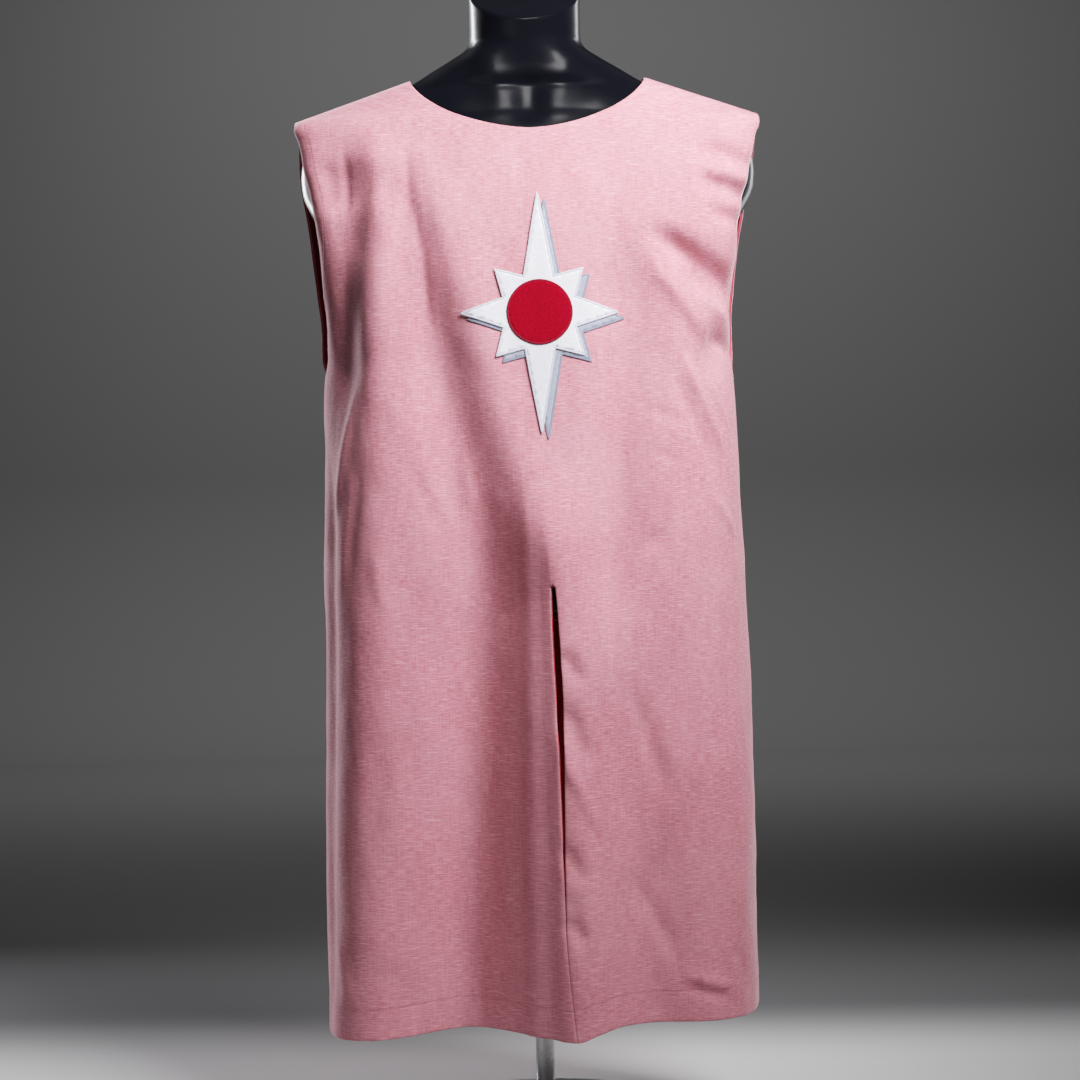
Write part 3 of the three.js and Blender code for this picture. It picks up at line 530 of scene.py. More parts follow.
def cloth_object(name, net, outer, inner, roll):
    """A wall of cloth with its flat pattern, and its distances from side edge and hem in metres."""
    corners, faces = wall(net, outer, inner, roll)
    made = new_object(name, corners, faces.tolist())
    facts = np.concatenate([net["facts"], net["facts"]]) * MM
    corner = face_corners(made.data)
    give_pattern(made.data, np.stack([facts[corner, 0] + 0.5, 1 - facts[corner, 1]], axis=1))
    for edge, column in (("side_edge", 2), ("hem_edge", 3)):
        values = made.data.attributes.new(edge, "FLOAT", "POINT")
        values.data.foreach_set("value", np.minimum(facts[:, column], 1.0).astype(np.float32))
    return made


def lining_object(name, panel, step):
    outer = -LINEN_THICKNESS - LINING_GAP
    net = panel_net(panel, step, hem_cut=True, recess=LINING_RECESS)
    return cloth_object(name, net, outer, outer - LINING_THICKNESS, 0.0)


front_net = panel_net(FRONT, step=3.9)
front = cloth_object("front_cloth", front_net, 0.0, -LINEN_THICKNESS, EDGE_ROLL)
rear = cloth_object("back_cloth", panel_net(BACK, step=5.0), 0.0, -LINEN_THICKNESS, EDGE_ROLL)
front_lining = lining_object("front_lining_cloth", FRONT, step=5.2)
rear_lining = lining_object("back_lining_cloth", BACK, step=6.0)

# --- the badge ---

BADGE_X, BADGE_Z = 9.0, NECK_POINT_Z - 250.0
STAR_LONG, STAR_WIDE, STAR_SHORT, STAR_VALLEY, ROUNDEL = 118.0, 76.0, 60.0, 38.0, 31.0
SHADOW_SHIFT = (6.5, -6.0)
PIECE_THICKNESS = 0.8
OUTLINE_STEP, APPLIQUE_STEP, ROUNDEL_STEP = 2.0, 3.2, 2.6
EDGE_CLEARANCE = 1.6  # inner points keep this far from the outline's
SATIN_WIDTH, SATIN_HEIGHT, SATIN_STEP, SATIN_SIDES = 2.6, 0.7, 1.6, 6
SATIN_UV_WIDTH = 4.0  # of a band in the flat pattern
SATIN_LIFT, SHADOW_SATIN_LIFT = 0.35, 0.3  # of a band's foot over its piece's underside
CORNER_STRETCH = 1.6  # a band widens up to this much at a sharp corner
ROUND_SIDES = 96

chest = BVHTree.FromPolygons([Vector(p) for p in front_net["points"]], front_net["faces"].tolist())


def star_outline(shift=(0.0, 0.0)):
    outline = []
    for k in range(8):
        ray = (STAR_LONG, STAR_SHORT, STAR_WIDE, STAR_SHORT)[k % 4]
        for radius, turn in ((ray, k), (STAR_VALLEY, k + 0.5)):
            angle = turn / 8 * 2 * math.pi
            outline.append((radius * math.sin(angle) + shift[0], radius * math.cos(angle) + shift[1]))
    return outline[::-1]


def divided(outline, step):
    """The outline with points at even steps along each side."""
    points = []
    for (ax, az), (bx, bz) in zip(outline, outline[1:] + outline[:1]):
        count = max(1, round(math.hypot(bx - ax, bz - az) / step))
        points += [(mix(ax, bx, k / count), mix(az, bz, k / count)) for k in range(count)]
    return points


def roundel_outline():
    turns = [k / ROUND_SIDES * 2 * math.pi for k in range(ROUND_SIDES)]
    return [(ROUNDEL * math.cos(t), ROUNDEL * math.sin(t)) for t in turns]


def on_chest(x, z, height):
    """A point at a height over the front cloth."""
    hit, normal, _, _ = chest.ray_cast(Vector((BADGE_X + x, -400, BADGE_Z + z)), Vector((0, 1, 0)))
    return hit + (-normal if normal.y > 0 else normal) * height


def inside(x, z, outline):
    """Whether a line from the point crosses the outline an odd number of times."""
    odd = False
    for (ax, az), (bx, bz) in zip(outline, outline[1:] + outline[:1]):
        if (az > z) != (bz > z) and x < mix(ax, bx, (z - az) / (bz - az)):
            odd = not odd
    return odd


def away_from(x, z, edge_points):
    return min((x - ex) ** 2 + (z - ez) ** 2 for ex, ez in edge_points) > EDGE_CLEARANCE**2


def applique(name, outline, low, step=APPLIQUE_STEP):
    """A thin cloth piece over the front panel, cut to an outline."""
    edge_points = divided(outline, OUTLINE_STEP)
    flat = [Vector(p) for p in edge_points]
    xs, zs = [p[0] for p in outline], [p[1] for p in outline]
    for i in range(int((max(xs) - min(xs)) / step) + 1):
        for j in range(int((max(zs) - min(zs)) / step) + 1):
            x, z = min(xs) + (i + 0.5 * (j % 2)) * step, min(zs) + j * step
            if inside(x, z, outline) and away_from(x, z, edge_points):
                flat.append(Vector((x, z)))
    sides = [(k, (k + 1) % len(edge_points)) for k in range(len(edge_points))]
    points, _, faces, _, _, _ = delaunay_2d_cdt(flat, sides, [], 1, 1e-4)
    count = len(points)
    outer = [on_chest(p.x, p.y, low + PIECE_THICKNESS) for p in points]
    under = [on_chest(p.x, p.y, low) for p in points]
    used = {edge: True for face in faces for edge in zip(face, face[1:] + face[:1])}
    rims = [[b, a, a + count, b + count] for a, b in used if (b, a) not in used]
    reverse = [[k + count for k in face[::-1]] for face in faces]
    made = new_object(name, outer + under, faces + reverse + rims)
    give_pattern(made.data, np.array(points)[face_corners(made.data) % count] * MM)
    return made


def satin_edge(name, outline, low):
    """A half-round bead of satin stitch along an outline, its own length and width as UV."""
    path = divided(outline, SATIN_STEP)
    count = len(path)
    corners, lengths = [], [0.0]
    for k, (x, z) in enumerate(path):
        before, after = Vector(path[k - 1]), Vector(path[(k + 1) % count])
        here = Vector((x, z))
        d0, d1 = (here - before).normalized(), (after - here).normalized()
        along = (d0 + d1).normalized()
        cross = Vector((along.y, -along.x))
        stretch = min(CORNER_STRETCH, 1 / max(0.3, abs(d0.dot(along))))
        lengths.append(lengths[-1] + (after - here).length)
        for s in range(SATIN_SIDES + 1):
            turn = s / SATIN_SIDES * math.pi
            place = here + cross * (math.cos(turn) * SATIN_WIDTH / 2 * stretch)
            corners.append(on_chest(place.x, place.y, low + math.sin(turn) * SATIN_HEIGHT))
    ring = SATIN_SIDES + 1
    faces = []
    for k in range(count):
        n = (k + 1) % count
        for s in range(SATIN_SIDES):
            faces.append((k * ring + s, k * ring + s + 1, n * ring + s + 1, n * ring + s))
        faces.append((k * ring + SATIN_SIDES, k * ring, n * ring, n * ring + SATIN_SIDES))
    made = new_object(name, corners, faces)
    corner = face_corners(made.data)
    station = corner // ring
    closing = np.arange(len(corner)) >= (count - 1) * ring * 4  # the faces back to the path's start
    station[closing & (station == 0)] = count
    over = (corner % ring) / SATIN_SIDES * SATIN_UV_WIDTH
    give_pattern(made.data, np.stack([np.array(lengths)[station], over], axis=1) * MM)
    return made


def layer_low(level):
    return SEAM_GAP + level * (PIECE_THICKNESS + SEAM_GAP)


shadow_outline = star_outline(SHADOW_SHIFT)
shadow = applique("star_shadow", shadow_outline, layer_low(0))
star = applique("star_face", star_outline(), layer_low(1))
roundel = applique("roundel_face", roundel_outline(), layer_low(2), ROUNDEL_STEP)
shadow_edge = satin_edge("star_shadow_edge", shadow_outline, layer_low(0) + SHADOW_SATIN_LIFT)
star_edge = satin_edge("star_face_edge", star_outline(), layer_low(1) + SATIN_LIFT)
roundel_edge = satin_edge("roundel_face_edge", roundel_outline(), layer_low(2) + SATIN_LIFT)

# --- stitching ---

THREAD_WIDTH, STITCH_LENGTH, STITCH_STEP, STITCH_LIFT = 0.55, 2.3, 3.4, 0.12
STITCH_RINGS = ((-0.5, 0.25), (-0.3, 0.95), (0.3, 0.95), (0.5, 0.25))  # share of length, of width
STITCH_SIDES = 6
HEM_END, HEM_SPLIT = 0.985, 0.03  # where the hem's stitching ends, as shares of the half-width
ARMHOLE_LINE_DROPS = (52, 318)


def stitch_line(panel, across, drop):
    """Evenly spaced stitches along a line on a panel's outer face: middles, directions, normals."""
    points, _ = surface(panel, across, drop)
    beside, _ = surface(panel, np.clip(across + 0.004, -1, 1), drop)
    below, _ = surface(panel, across, drop + 1.0)
    normals = unit(np.cross(beside - points, below - points))
    normals *= np.where(normals[:, 1] * panel["side"] < 0, -1.0, 1.0)[:, None]
    run = np.concatenate([[0], np.cumsum(np.linalg.norm(np.diff(points, axis=0), axis=1))])
    stations = np.arange(STITCH_STEP, run[-1] - STITCH_STEP, STITCH_STEP)

    def pick(values, at):
        return np.stack([np.interp(at, run, values[:, k]) for k in range(3)], axis=1)

    direction = unit(pick(points, stations + 1) - pick(points, stations - 1))
    return pick(points, stations), direction, pick(normals, stations)


def thread(name, lines):
    """Small rounded stitches, half sunk in the cloth."""
    corners, faces = [], []
    sides = STITCH_SIDES
    last = (len(STITCH_RINGS) - 1) * sides
    for middle, direction, normal in lines:
        side = np.cross(direction, normal)
        for m, d, s, n in zip(middle, direction, side, normal):
            first = len(corners)
            for along, size in STITCH_RINGS:
                centre = m + d * along * STITCH_LENGTH
                for k in range(sides):
                    turn = k / sides * 2 * math.pi
                    off = s * math.cos(turn) + n * math.sin(turn)
                    corners.append(centre + off * size * THREAD_WIDTH / 2 + n * STITCH_LIFT)
            for r in range(first, first + last, sides):
                for k in range(sides):
                    a, b = r + k, r + (k + 1) % sides
                    faces.append((a, b, b + sides, a + sides))
            faces.append(tuple(first + k for k in range(sides - 1, -1, -1)))
            faces.append(tuple(first + last + k for k in range(sides)))
    return new_object(name, corners, faces)


def hem_line(panel, start, end):
    across = np.linspace(start, end, 160)
    hem = look(panel["hem"], 1, across)
    return stitch_line(panel, across, hem - HEM_FOLD)


def armhole_line(panel, hand):
    drop = np.linspace(*ARMHOLE_LINE_DROPS, 90)
    return stitch_line(panel, np.full_like(drop, hand * (1 - EDGE_FOLD / CLOTH_HALF)), drop)


def stitches(name, panel, hem_spans):
    lines = [hem_line(panel, *span) for span in hem_spans]
    return thread(name, lines + [armhole_line(panel, hand) for hand in (-1, 1)])


front_thread = stitches("front_stitches", FRONT, [(-HEM_END, -HEM_SPLIT), (HEM_SPLIT, HEM_END)])
rear_thread = stitches("back_stitches", BACK, [(-HEM_END, HEM_END)])

# --- the dress form ---

FORM_SECTIONS = [
    (517, 152, 88, 90, 2.3), (524, 160, 95, 98, 2.3), (545, 164, 99, 103, 2.3), (590, 163, 101, 105, 2.3),
    (650, 156, 98, 97, 2.25), (705, 152, 96, 88, 2.2), (760, 157, 102, 91, 2.2), (810, 165, 112, 100, 2.2),
    (850, 173, 119, 106, 2.2), (882, 189, 118, 107, 2.15), (908, 210, 113, 106, 2.1),
    (932, 225, 106, 103, 2.1), (948, 231.5, 100, 100, 2.05), (965, 233, 92, 97, 2.05),
    (988, 230, 84, 93, 2), (1005, 224, 78, 90, 2),
]
FORM_NECK = [
    (1060.5, 117, 59.8, 74, 2), (1072, 98, 58.6, 71, 2), (1084, 77.5, 57.8, 67, 2),
    (1093, 63.5, 57.3, 64, 2), (1101, 58, 57, 62, 2), (1110, 57, 57, 61, 2),
]
FORM_CLEARANCE = 6.5  # of the form's shoulders under the cloth
FORM_SHOULDER_SLACK = (3, 1)  # more room in front and behind
NECK_CUT_Z, NECK_CUT_TILT, NECK_CUT_EDGE = 1154.0, math.radians(32), 3.0
FORM_SIDES = 240
FORM_STEP, SHOULDER_FROM, SHOULDER_STEP = 5.0, 1000, 2.5  # heights between its rings


def shoulder_sections():
    """The form's sections just under the shoulder seams."""
    rows = []
    for k in range(5):
        drop = mix(TIP_DROP, 0.0, mix(0.15, 0.85, k / 4))
        row = [NECK_POINT_Z - drop - FORM_CLEARANCE, mix(NECK_POINT_X, TIP_X, drop / TIP_DROP)]
        for table, slack in zip((FRONT_SECTIONS, BACK_SECTIONS), FORM_SHOULDER_SLACK):
            row.append(float(look(table, 3, drop)) - FORM_CLEARANCE - slack)
        rows.append((*row, 2.0))
    return rows


# Soft relief in front: place and height of one end, of the other, width, rise
FORM_RELIEF = (
    # throat muscles and the hollow between them
    (-72, 1150, -2, 984, 11, 3.4), (78, 1150, 8, 984, 11, 3.4), (3, 1070, 3, 1000, 9, -2.2),
    # collar bones
    (-2, 1004, -104, 1050, 12, 2.6), (6, 1004, 108, 1050, 12, 2.6),
)
RELIEF_FROM, RELIEF_OVER = 1004, 16  # heights over which the relief comes in


def form_ring(z, half, front_depth, back_depth, square, inset=0.0, tilt=0.0):
    """A level section of the form, or the slanted cut through its neck."""
    angle = np.arange(FORM_SIDES) / FORM_SIDES * 2 * math.pi
    c, s = np.cos(angle), np.sin(angle)
    x = (half - inset) * np.sign(c) * np.abs(c) ** (2 / square)
    depth = np.where(s < 0, front_depth, back_depth) - inset
    relief = crease_rise(FORM_RELIEF, np.full_like(x, z), x) * smooth(-s * 3)
    relief = relief * smooth((z - RELIEF_FROM) / RELIEF_OVER)
    y = depth * np.sign(s) * np.abs(s) ** (2 / square) - relief
    return np.stack([x, y, z + y * math.tan(tilt)], axis=1)


def loft(name, rings):
    """A closed, smooth body through rings of points, each end drawn in to its middle."""
    sides = len(rings[0])
    corners = np.concatenate(rings + [rings[0].mean(axis=0)[None], rings[-1].mean(axis=0)[None]])
    faces = []
    last = (len(rings) - 1) * sides
    for k in range(sides):
        n = (k + 1) % sides
        for r in range(0, last, sides):
            faces.append((r + k, r + n, r + sides + n, r + sides + k))
        faces.append((last + sides, n, k))
        faces.append((last + sides + 1, last + k, last + n))
    return new_object(name, corners, faces)


def dress_form():
    table = np.array(FORM_SECTIONS + shoulder_sections() + FORM_NECK)
    low = np.arange(table[0, 0], SHOULDER_FROM, FORM_STEP)
    high = np.arange(SHOULDER_FROM, table[-1, 0], SHOULDER_STEP)
    heights = np.unique(np.concatenate([low, high, table[:, 0]]))
    columns = [look(table, k, heights) for k in range(1, 5)]
    rings = [form_ring(*row) for row in zip(heights, *columns)]
    rings = [mix(rings[0].mean(axis=0)[None], rings[0], t) for t in (0.5, 0.9)] + rings
    half, front_depth, back_depth = FORM_NECK[-1][1:4]
    cut = form_ring(NECK_CUT_Z - NECK_CUT_EDGE, half, front_depth, back_depth, 2.0, 0, NECK_CUT_TILT)
    start = rings[-1]
    rings += [mix(start, cut, t) for t in np.linspace(0, 1, 12)[1:]]
    for turn in np.linspace(0, math.pi / 2, 6)[1:]:
        inset = NECK_CUT_EDGE * (1 - math.cos(turn))
        z = NECK_CUT_Z - NECK_CUT_EDGE * (1 - math.sin(turn))
        rings.append(form_ring(z, half, front_depth, back_depth, 2.0, inset, NECK_CUT_TILT))
    middle = rings[-1].mean(axis=0)[None]
    rings += [mix(rings[-1], middle, t) for t in (0.03, 0.4, 0.8)]
    return loft("dress_form", rings)


form = dress_form()

# --- the stand ---


def turned(name, profile):
    """A body turned about the pole's axis, from its profile of radius and height."""
    angle = np.arange(ROUND_SIDES) / ROUND_SIDES * 2 * math.pi
    circle = np.stack([np.cos(angle), np.sin(angle), np.zeros(ROUND_SIDES)], axis=1)
    return loft(name, [circle * radius + (0, 0, height) for radius, height in profile])


def rounded(radius, low, high, edge):
    """The profile of a disc or rod with rounded edges, from its underside to its top."""
    steps = [k / 4 * math.pi / 2 for k in range(5)]
    under = [(radius - edge + edge * math.sin(t), low + edge - edge * math.cos(t)) for t in steps]
    over = [(radius - edge + edge * math.cos(t), high - edge + edge * math.sin(t)) for t in steps]
    return [(radius * 0.5, low)] + under + over + [(radius * 0.5, high)]


# The foot of the pole's socket on the plate, from the plate's top to the socket's: radius, height
SOCKET = [(24, 6), (21, 6.4), (19.4, 8), (19, 10), (19, 22.5), (18.6, 23.6), (17.5, 24), (8, 24)]
base = turned("stand_plate", rounded(radius=150, low=0, high=6, edge=1.5)[:-1] + SOCKET)
pole = turned("stand_rod", rounded(radius=9.5, low=24.3, high=507.4, edge=0.4))
flange = turned("stand_collar", rounded(radius=36, low=507.7, high=516.7, edge=1.2))

# --- materials ---
# A socket's or node's id_data is the node tree that it is in.


def node(tree, kind, inputs=None, **settings):
    """A new node, its inputs set to values or linked to other nodes' outputs."""
    made = tree.nodes.new(kind)
    for key, value in settings.items():
        setattr(made, key, value)
    for key, value in (inputs or {}).items():
        if isinstance(value, bpy.types.NodeSocket):
            tree.links.new(value, made.inputs[key])
        else:
            made.inputs[key].default_value = value
    return made


def connect(shader, **outputs):
    """Link outputs to the shader's sockets of these names."""
    for key, output in outputs.items():
        shader.id_data.links.new(output, shader.inputs[key.replace("_", " ")])


def new_material(name, **values):
    material = bpy.data.materials.new(name)
    material.use_nodes = True
    shader = material.node_tree.nodes["Principled BSDF"]
    for key, value in values.items():
        shader.inputs[key.replace("_", " ")].default_value = value
    return material, material.node_tree, shader


def pattern_at(tree, across, down):
    """The flat pattern's coordinates, in cells of the given sizes in millimetres."""
    uv = node(tree, "ShaderNodeUVMap", uv_map="pattern").outputs["UV"]
    scale = (1000 / across, 1000 / down, 1.0)
    return node(tree, "ShaderNodeVectorMath", {0: uv, 1: scale}, operation="MULTIPLY").outputs["Vector"]


def noise(tree, vector, detail=2.0, roughness=0.5):
    inputs = {"Vector": vector, "Scale": 1.0, "Detail": detail, "Roughness": roughness}
    return node(tree, "ShaderNodeTexNoise", inputs).outputs["Fac"]


def cloth_noise(tree, across, down, detail=2.0, roughness=0.5):
    return noise(tree, pattern_at(tree, across, down), detail, roughness)


def solid_noise(tree, scale, detail=2.0, roughness=0.5):
    """Noise through the object's own space, so many cells to a metre each way."""
    place = node(tree, "ShaderNodeTexCoord").outputs["Object"]
    scaled = node(tree, "ShaderNodeVectorMath", {0: place, 1: scale}, operation="MULTIPLY")
    return noise(tree, scaled.outputs["Vector"], detail, roughness)


def ranged(value, low, high, to_low=0.0, to_high=1.0):
    inputs = {"Value": value, "From Min": low, "From Max": high, "To Min": to_low, "To Max": to_high}
    made = node(value.id_data, "ShaderNodeMapRange", inputs, interpolation_type="SMOOTHSTEP")
    return made.outputs["Result"]


def maths(operation, a, b=0.0):
    return node(a.id_data, "ShaderNodeMath", {0: a, 1: b}, operation=operation).outputs["Value"]


def blended(amount, a, b):
    """A colour between two others. The Mix node's sockets for colours are 6, 7 and output 2."""
    return node(amount.id_data, "ShaderNodeMix", {0: amount, 6: a, 7: b}, data_type="RGBA").outputs[2]


def bumped(height, distance, strength=1.0, normal=None):
    inputs = {"Height": height, "Distance": distance, "Strength": strength}
    if normal is not None:
        inputs["Normal"] = normal
    return node(height.id_data, "ShaderNodeBump", inputs).outputs["Normal"]


def edge_groove(tree, name, at):
    """1 on a stitching line at a distance from an edge, 0 away from it."""
    distance = node(tree, "ShaderNodeAttribute", attribute_name=name).outputs["Fac"]
    off = maths("ABSOLUTE", maths("SUBTRACT", distance, at * MM))
    return ranged(off, 0.0, 1.8 * MM, 1.0, 0.0)


def woven(tree, slub_amount):
    """Plain weave with slubs: a height and a lightness, both about 0.5 on average."""
    slubs = cloth_noise(tree, 8, 0.75, 3.0, 0.6)
    long_slubs = ranged(cloth_noise(tree, 20, 1.2), 0.57, 0.74)
    warp = cloth_noise(tree, 1.1, 30, 3.0, 0.55)
    both = maths("ADD", maths("MULTIPLY", slubs, 0.78), maths("MULTIPLY", warp, 0.22))
    return maths("ADD", both, maths("MULTIPLY", long_slubs, slub_amount))


def linen_material():
    material, tree, shader = new_material(
        "pink_linen", Roughness=0.82, Sheen_Weight=0.42, Sheen_Roughness=0.32,
        Sheen_Tint=(1.0, 0.95, 0.98, 1), Specular_IOR_Level=0.2,
    )
    weave = woven(tree, 0.3)
    patches = cloth_noise(tree, 60, 110, 4.0, 0.6)
    colour = blended(ranged(weave, 0.28, 0.76), (0.47, 0.135, 0.172, 1), (0.80, 0.345, 0.40, 1))
    faded = blended(ranged(patches, 0.35, 0.7, 0.0, 0.16), colour, (0.80, 0.42, 0.48, 1))
    hem_groove = edge_groove(tree, "hem_edge", HEM_FOLD)
    lines = maths("MAXIMUM", hem_groove, edge_groove(tree, "side_edge", EDGE_FOLD))
    # painted shade: the colour darkens a little along the stitching grooves of the hem and of the turned-in
    # side strips
    groove_painted_shade = blended(maths("MULTIPLY", lines, 0.07), faded, (0.42, 0.14, 0.17, 1))
    wrinkled = bumped(cloth_noise(tree, 14, 30, 5.0, 0.6), 0.0016, 0.5)
    grooved = bumped(maths("MULTIPLY", lines, -1.0), 0.0005, 0.5, wrinkled)
    connect(shader, Base_Color=groove_painted_shade, Normal=bumped(weave, 0.0003, 0.5, grooved))
    return material


def lining_material():
    material, tree, shader = new_material(
        "dark_red_lining", Roughness=0.78, Sheen_Weight=0.25, Sheen_Roughness=0.4,
        Sheen_Tint=(1.0, 0.7, 0.7, 1), Specular_IOR_Level=0.3,
    )
    weave = woven(tree, 0.05)
    colour = blended(ranged(weave, 0.3, 0.7), (0.50, 0.014, 0.024, 1), (0.68, 0.03, 0.045, 1))
    from_edge = node(tree, "ShaderNodeAttribute", attribute_name="side_edge").outputs["Fac"]
    turned_in = ranged(from_edge, (EDGE_FOLD - 1) * MM, EDGE_FOLD * MM, 1.0, 0.0)
    colour = blended(turned_in, colour, (0.74, 0.11, 0.14, 1))
    connect(shader, Base_Color=colour, Normal=bumped(weave, 0.0003, 0.5))
    return material


def simple_material(name, pattern, deep, pale, bump=None, rough=None, **values):
    """One pattern between two colours. It may also set the roughness, and raise the surface."""
    material, tree, shader = new_material(name, **values)
    height = pattern(tree)
    connect(shader, Base_Color=blended(height, deep, pale))
    if rough:
        connect(shader, Roughness=ranged(height, *rough))
    if bump:
        connect(shader, Normal=bumped(height, *bump))
    return material


def badge_material(name, deep, pale, fuzz):
    """A fine flat cloth for the badge's pieces."""
    material, tree, shader = new_material(
        name, Roughness=0.75, Sheen_Weight=0.3, Sheen_Roughness=0.35, Specular_IOR_Level=0.3
    )
    threads = maths("ADD", cloth_noise(tree, 0.6, 6), cloth_noise(tree, 6, 0.6))
    threads = maths("MULTIPLY", maths("MULTIPLY", threads, 0.5), 1 - fuzz)
    felt = maths("MULTIPLY", cloth_noise(tree, 2.2, 2.2, 5.0, 0.7), fuzz)
    height = maths("ADD", threads, felt)
    colour = blended(ranged(height, 0.35, 0.65), deep, pale)
    connect(shader, Base_Color=colour, Normal=bumped(height, 0.0004, 0.5))
    return material


def satin_threads(tree):
    """Parallel threads across a band of satin stitch."""
    inputs = {"Vector": pattern_at(tree, 1, 1), "Scale": 0.42, "Distortion": 1.2}
    return node(tree, "ShaderNodeTexWave", inputs, bands_direction="X").outputs["Fac"]


def satin_material(name, deep, pale):
    values = {"Roughness": 0.42, "Sheen_Weight": 0.2, "Specular_IOR_Level": 0.5, "Anisotropic": 0.4}
    return simple_material(name, satin_threads, deep, pale, bump=(0.0003, 0.7), **values)


def gloss_material():
    material, tree, shader = new_material(
        "gloss_black", IOR=1.5, Coat_Weight=0.35, Coat_Roughness=0.2, Specular_IOR_Level=0.25
    )
    clouds = solid_noise(tree, (9, 9, 9), 5.0, 0.6)
    colour = blended(clouds, (0.0014, 0.0015, 0.003, 1), (0.005, 0.0055, 0.009, 1))
    peel = bumped(solid_noise(tree, (160, 160, 160)), 0.00025, 0.12)
    rough = ranged(clouds, 0.3, 0.75, 0.28, 0.4)
    connect(shader, Base_Color=colour, Roughness=rough, Normal=peel)
    return material


def brush_marks(tree):
    return solid_noise(tree, (60, 60, 1400), 4.0, 0.6)


def twist(tree):
    return solid_noise(tree, (900, 900, 900))


def floor_clouds(tree):
    return solid_noise(tree, (3, 3, 3), 3.0)


linen = linen_material()
lining = lining_material()
white_cloth = badge_material("badge_white_cloth", (0.66, 0.66, 0.76, 1), (0.86, 0.86, 0.93, 1), 0.2)
grey_cloth = badge_material("badge_grey_cloth", (0.27, 0.29, 0.38, 1), (0.40, 0.42, 0.53, 1), 0.2)
red_cloth = badge_material("badge_red_felt", (0.20, 0.0008, 0.008, 1), (0.34, 0.0015, 0.018, 1), 0.8)
white_satin = satin_material("white_satin", (0.52, 0.53, 0.64, 1), (0.80, 0.81, 0.90, 1))
grey_satin = satin_material("grey_satin", (0.17, 0.18, 0.25, 1), (0.34, 0.36, 0.46, 1))
red_satin = satin_material("red_satin", (0.16, 0.002, 0.01, 1), (0.36, 0.006, 0.03, 1))
gloss_black = gloss_material()
steel = simple_material(
    "brushed_steel", brush_marks, (0.36, 0.36, 0.37, 1), (0.62, 0.62, 0.63, 1),
    bump=(0.0001, 0.3), rough=(0.2, 0.8, 0.24, 0.42), Metallic=1.0, Anisotropic=0.5,
)
pink_thread = simple_material(
    "pink_thread", twist, (0.52, 0.20, 0.24, 1), (0.74, 0.36, 0.40, 1), Roughness=0.6, Sheen_Weight=0.3
)
pale_floor = simple_material(
    "pale_floor", floor_clouds, (0.58, 0.58, 0.58, 1), (0.62, 0.62, 0.62, 1),
    Roughness=0.9, Specular_IOR_Level=0.2,
)

# --- every piece: its finish, its body, and the CAD node that it stands for ---

# piece, material, slot, and the CAD node that it stands for
PIECES = (
    (front, linen, "linen", "front_panel"),
    (rear, linen, "linen", "back_panel"),
    (front_lining, lining, "lining", "front_lining"),
    (rear_lining, lining, "lining", "back_lining"),
    (shadow, grey_cloth, "badge_grey", "badge_shadow"),
    (star, white_cloth, "badge_white", "badge_star"),
    (roundel, red_cloth, "badge_red", "badge_roundel"),
    (shadow_edge, grey_satin, "badge_grey"),
    (star_edge, white_satin, "badge_white"),
    (roundel_edge, red_satin, "badge_red"),
    (front_thread, pink_thread, "linen"),
    (rear_thread, pink_thread, "linen"),
    (form, gloss_black, "form_shell", "form_torso"),
    (base, steel, "stand_steel", "stand_base"),
    (pole, steel, "stand_steel", "stand_pole"),
    (flange, steel, "stand_steel", "stand_flange"),
)
for piece, material, slot, *nodes in PIECES:
    piece.data.materials.clear()
    piece.data.materials.append(material)
    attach(piece, "root")
    if nodes:
        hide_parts(*nodes)

# --- floor, backdrop and light ---

BACKDROP_FOOT = 0.25  # where the grey paper begins behind the stand


def staged(name, corners, faces, material, smooth_shading):
    """A piece of the studio, its corners in metres."""
    made = new_object(name, corners, faces, 1.0, smooth_shading)
    made.data.materials.append(material)


def sweep(name, start, radius, height, width, material):
    """A studio backdrop: it lies flat behind the stand, then curves up into a wall."""
    profile = [(y, 0.0) for y in np.linspace(BACKDROP_FOOT, start, 8)]
    for k in range(1, 25):
        turn = k / 24 * math.pi / 2
        profile.append((start + radius * math.sin(turn), radius - radius * math.cos(turn)))
    profile.append((start + radius, height))
    corners = [(x, y, z) for y, z in profile for x in (-width / 2, width / 2)]
    faces = [(2 * k, 2 * k + 1, 2 * k + 3, 2 * k + 2) for k in range(len(profile) - 1)]
    staged(name, corners, faces, material, True)


def backdrop_material():
    """Pale like the floor where it meets it, and a plain mid grey beyond."""
    material, tree, shader = new_material("studio_backdrop", Roughness=0.95, Specular_IOR_Level=0.1)
    place = node(tree, "ShaderNodeTexCoord").outputs["Object"]
    behind = node(tree, "ShaderNodeSeparateXYZ", {0: place}).outputs["Y"]
    greyed = ranged(behind, BACKDROP_FOOT, BACKDROP_FOOT + 0.4)
    connect(shader, Base_Color=blended(greyed, (0.60, 0.60, 0.60, 1), (0.15, 0.15, 0.152, 1)))
    return material


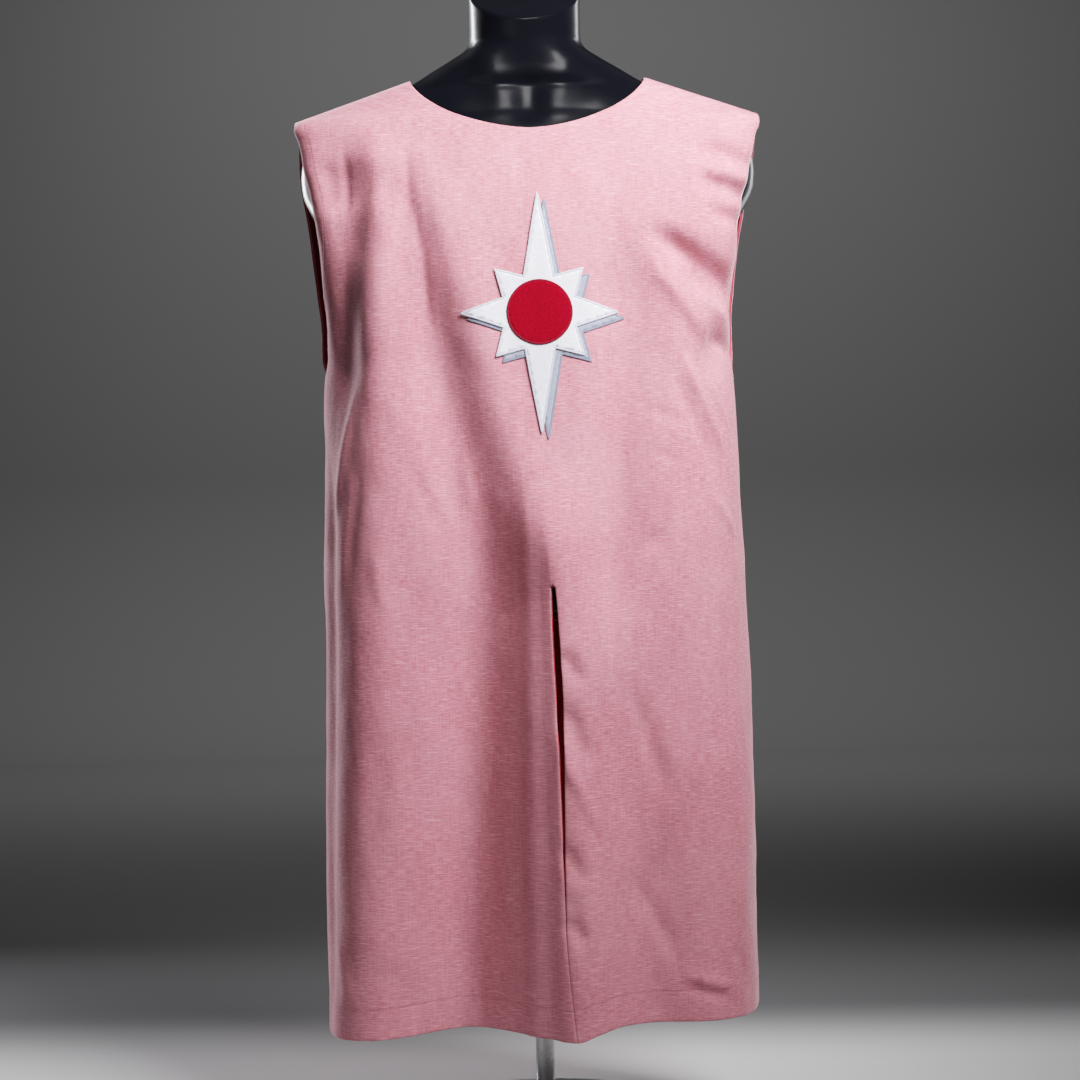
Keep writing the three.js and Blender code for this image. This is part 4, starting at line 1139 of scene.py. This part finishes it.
floor_corners = [(-5, -6, 0), (5, -6, 0), (5, BACKDROP_FOOT, 0), (-5, BACKDROP_FOOT, 0)]
staged("floor", floor_corners, [(0, 1, 2, 3)], pale_floor, False)
sweep("backdrop", start=4.6, radius=0.8, height=5.5, width=16, material=backdrop_material())


def softbox(name, at, target, size, watts, spread, colour=(1, 1, 1)):
    """A soft rectangular light, which the camera doesn't see. Spread in degrees."""
    light = bpy.data.lights.new(name, "AREA")
    light.shape = "RECTANGLE"
    light.size, light.size_y = size
    light.energy = watts
    light.spread = math.radians(spread)
    light.color = colour
    made = bpy.data.objects.new(name, light)
    made.location = at
    aim = (Vector(target) - Vector(at)).normalized()
    made.rotation_euler = aim.to_track_quat("-Z", "Y").to_euler()
    made.visible_camera = False
    bpy.context.scene.collection.objects.link(made)
    return made


key = softbox("key", (0.68, -0.92, 1.76), (0.06, -0.1, 1.08), (0.8, 0.8), 15.6, 76)
key.visible_glossy = False  # the glossy form shows the narrower lights below
top = softbox("top", (0.25, -1.6, 2.5), (0, 0, 1.1), (0.9, 0.3), 2.4, 90)
top.visible_diffuse = False
softbox("fill", (-1.6, -2.8, 1.2), (0, 0, 0.7), (1.6, 1.6), 0.5, 90)
softbox("rim_left", (-1.1, 1.1, 1.1), (0, 0, 0.75), (0.3, 1.7), 10.5, 100, (0.95, 0.97, 1))
softbox("rim_right", (1.1, 1.1, 1.1), (0, 0, 0.75), (0.3, 1.7), 3, 100, (0.95, 0.97, 1))
softbox("backdrop_light", (0, 3.2, 3.2), (0.2, 5.2, 0.6), (3.2, 0.4), 52, 130)

world = bpy.data.worlds.new("studio")
world.use_nodes = True
sky = world.node_tree.nodes["Background"].inputs
sky["Color"].default_value = (0.30, 0.30, 0.31, 1)
sky["Strength"].default_value = 0.15
bpy.context.scene.world = world
# The picture's tones: light in the scene, as a share of the curve's width, and brightness shown
TONES = (
    (0.01, 0.034), (0.025, 0.092), (0.05, 0.2), (0.129, 0.456), (0.204, 0.6), (0.385, 0.8), (0.685, 0.95),
)
tone = bpy.context.scene.view_settings
tone.view_transform = "Standard"
tone.use_curve_mapping = True
tone.curve_mapping.white_level = (4, 4, 4)
for light, shown in TONES:
    tone.curve_mapping.curves[3].points.new(light, shown)
tone.curve_mapping.update()
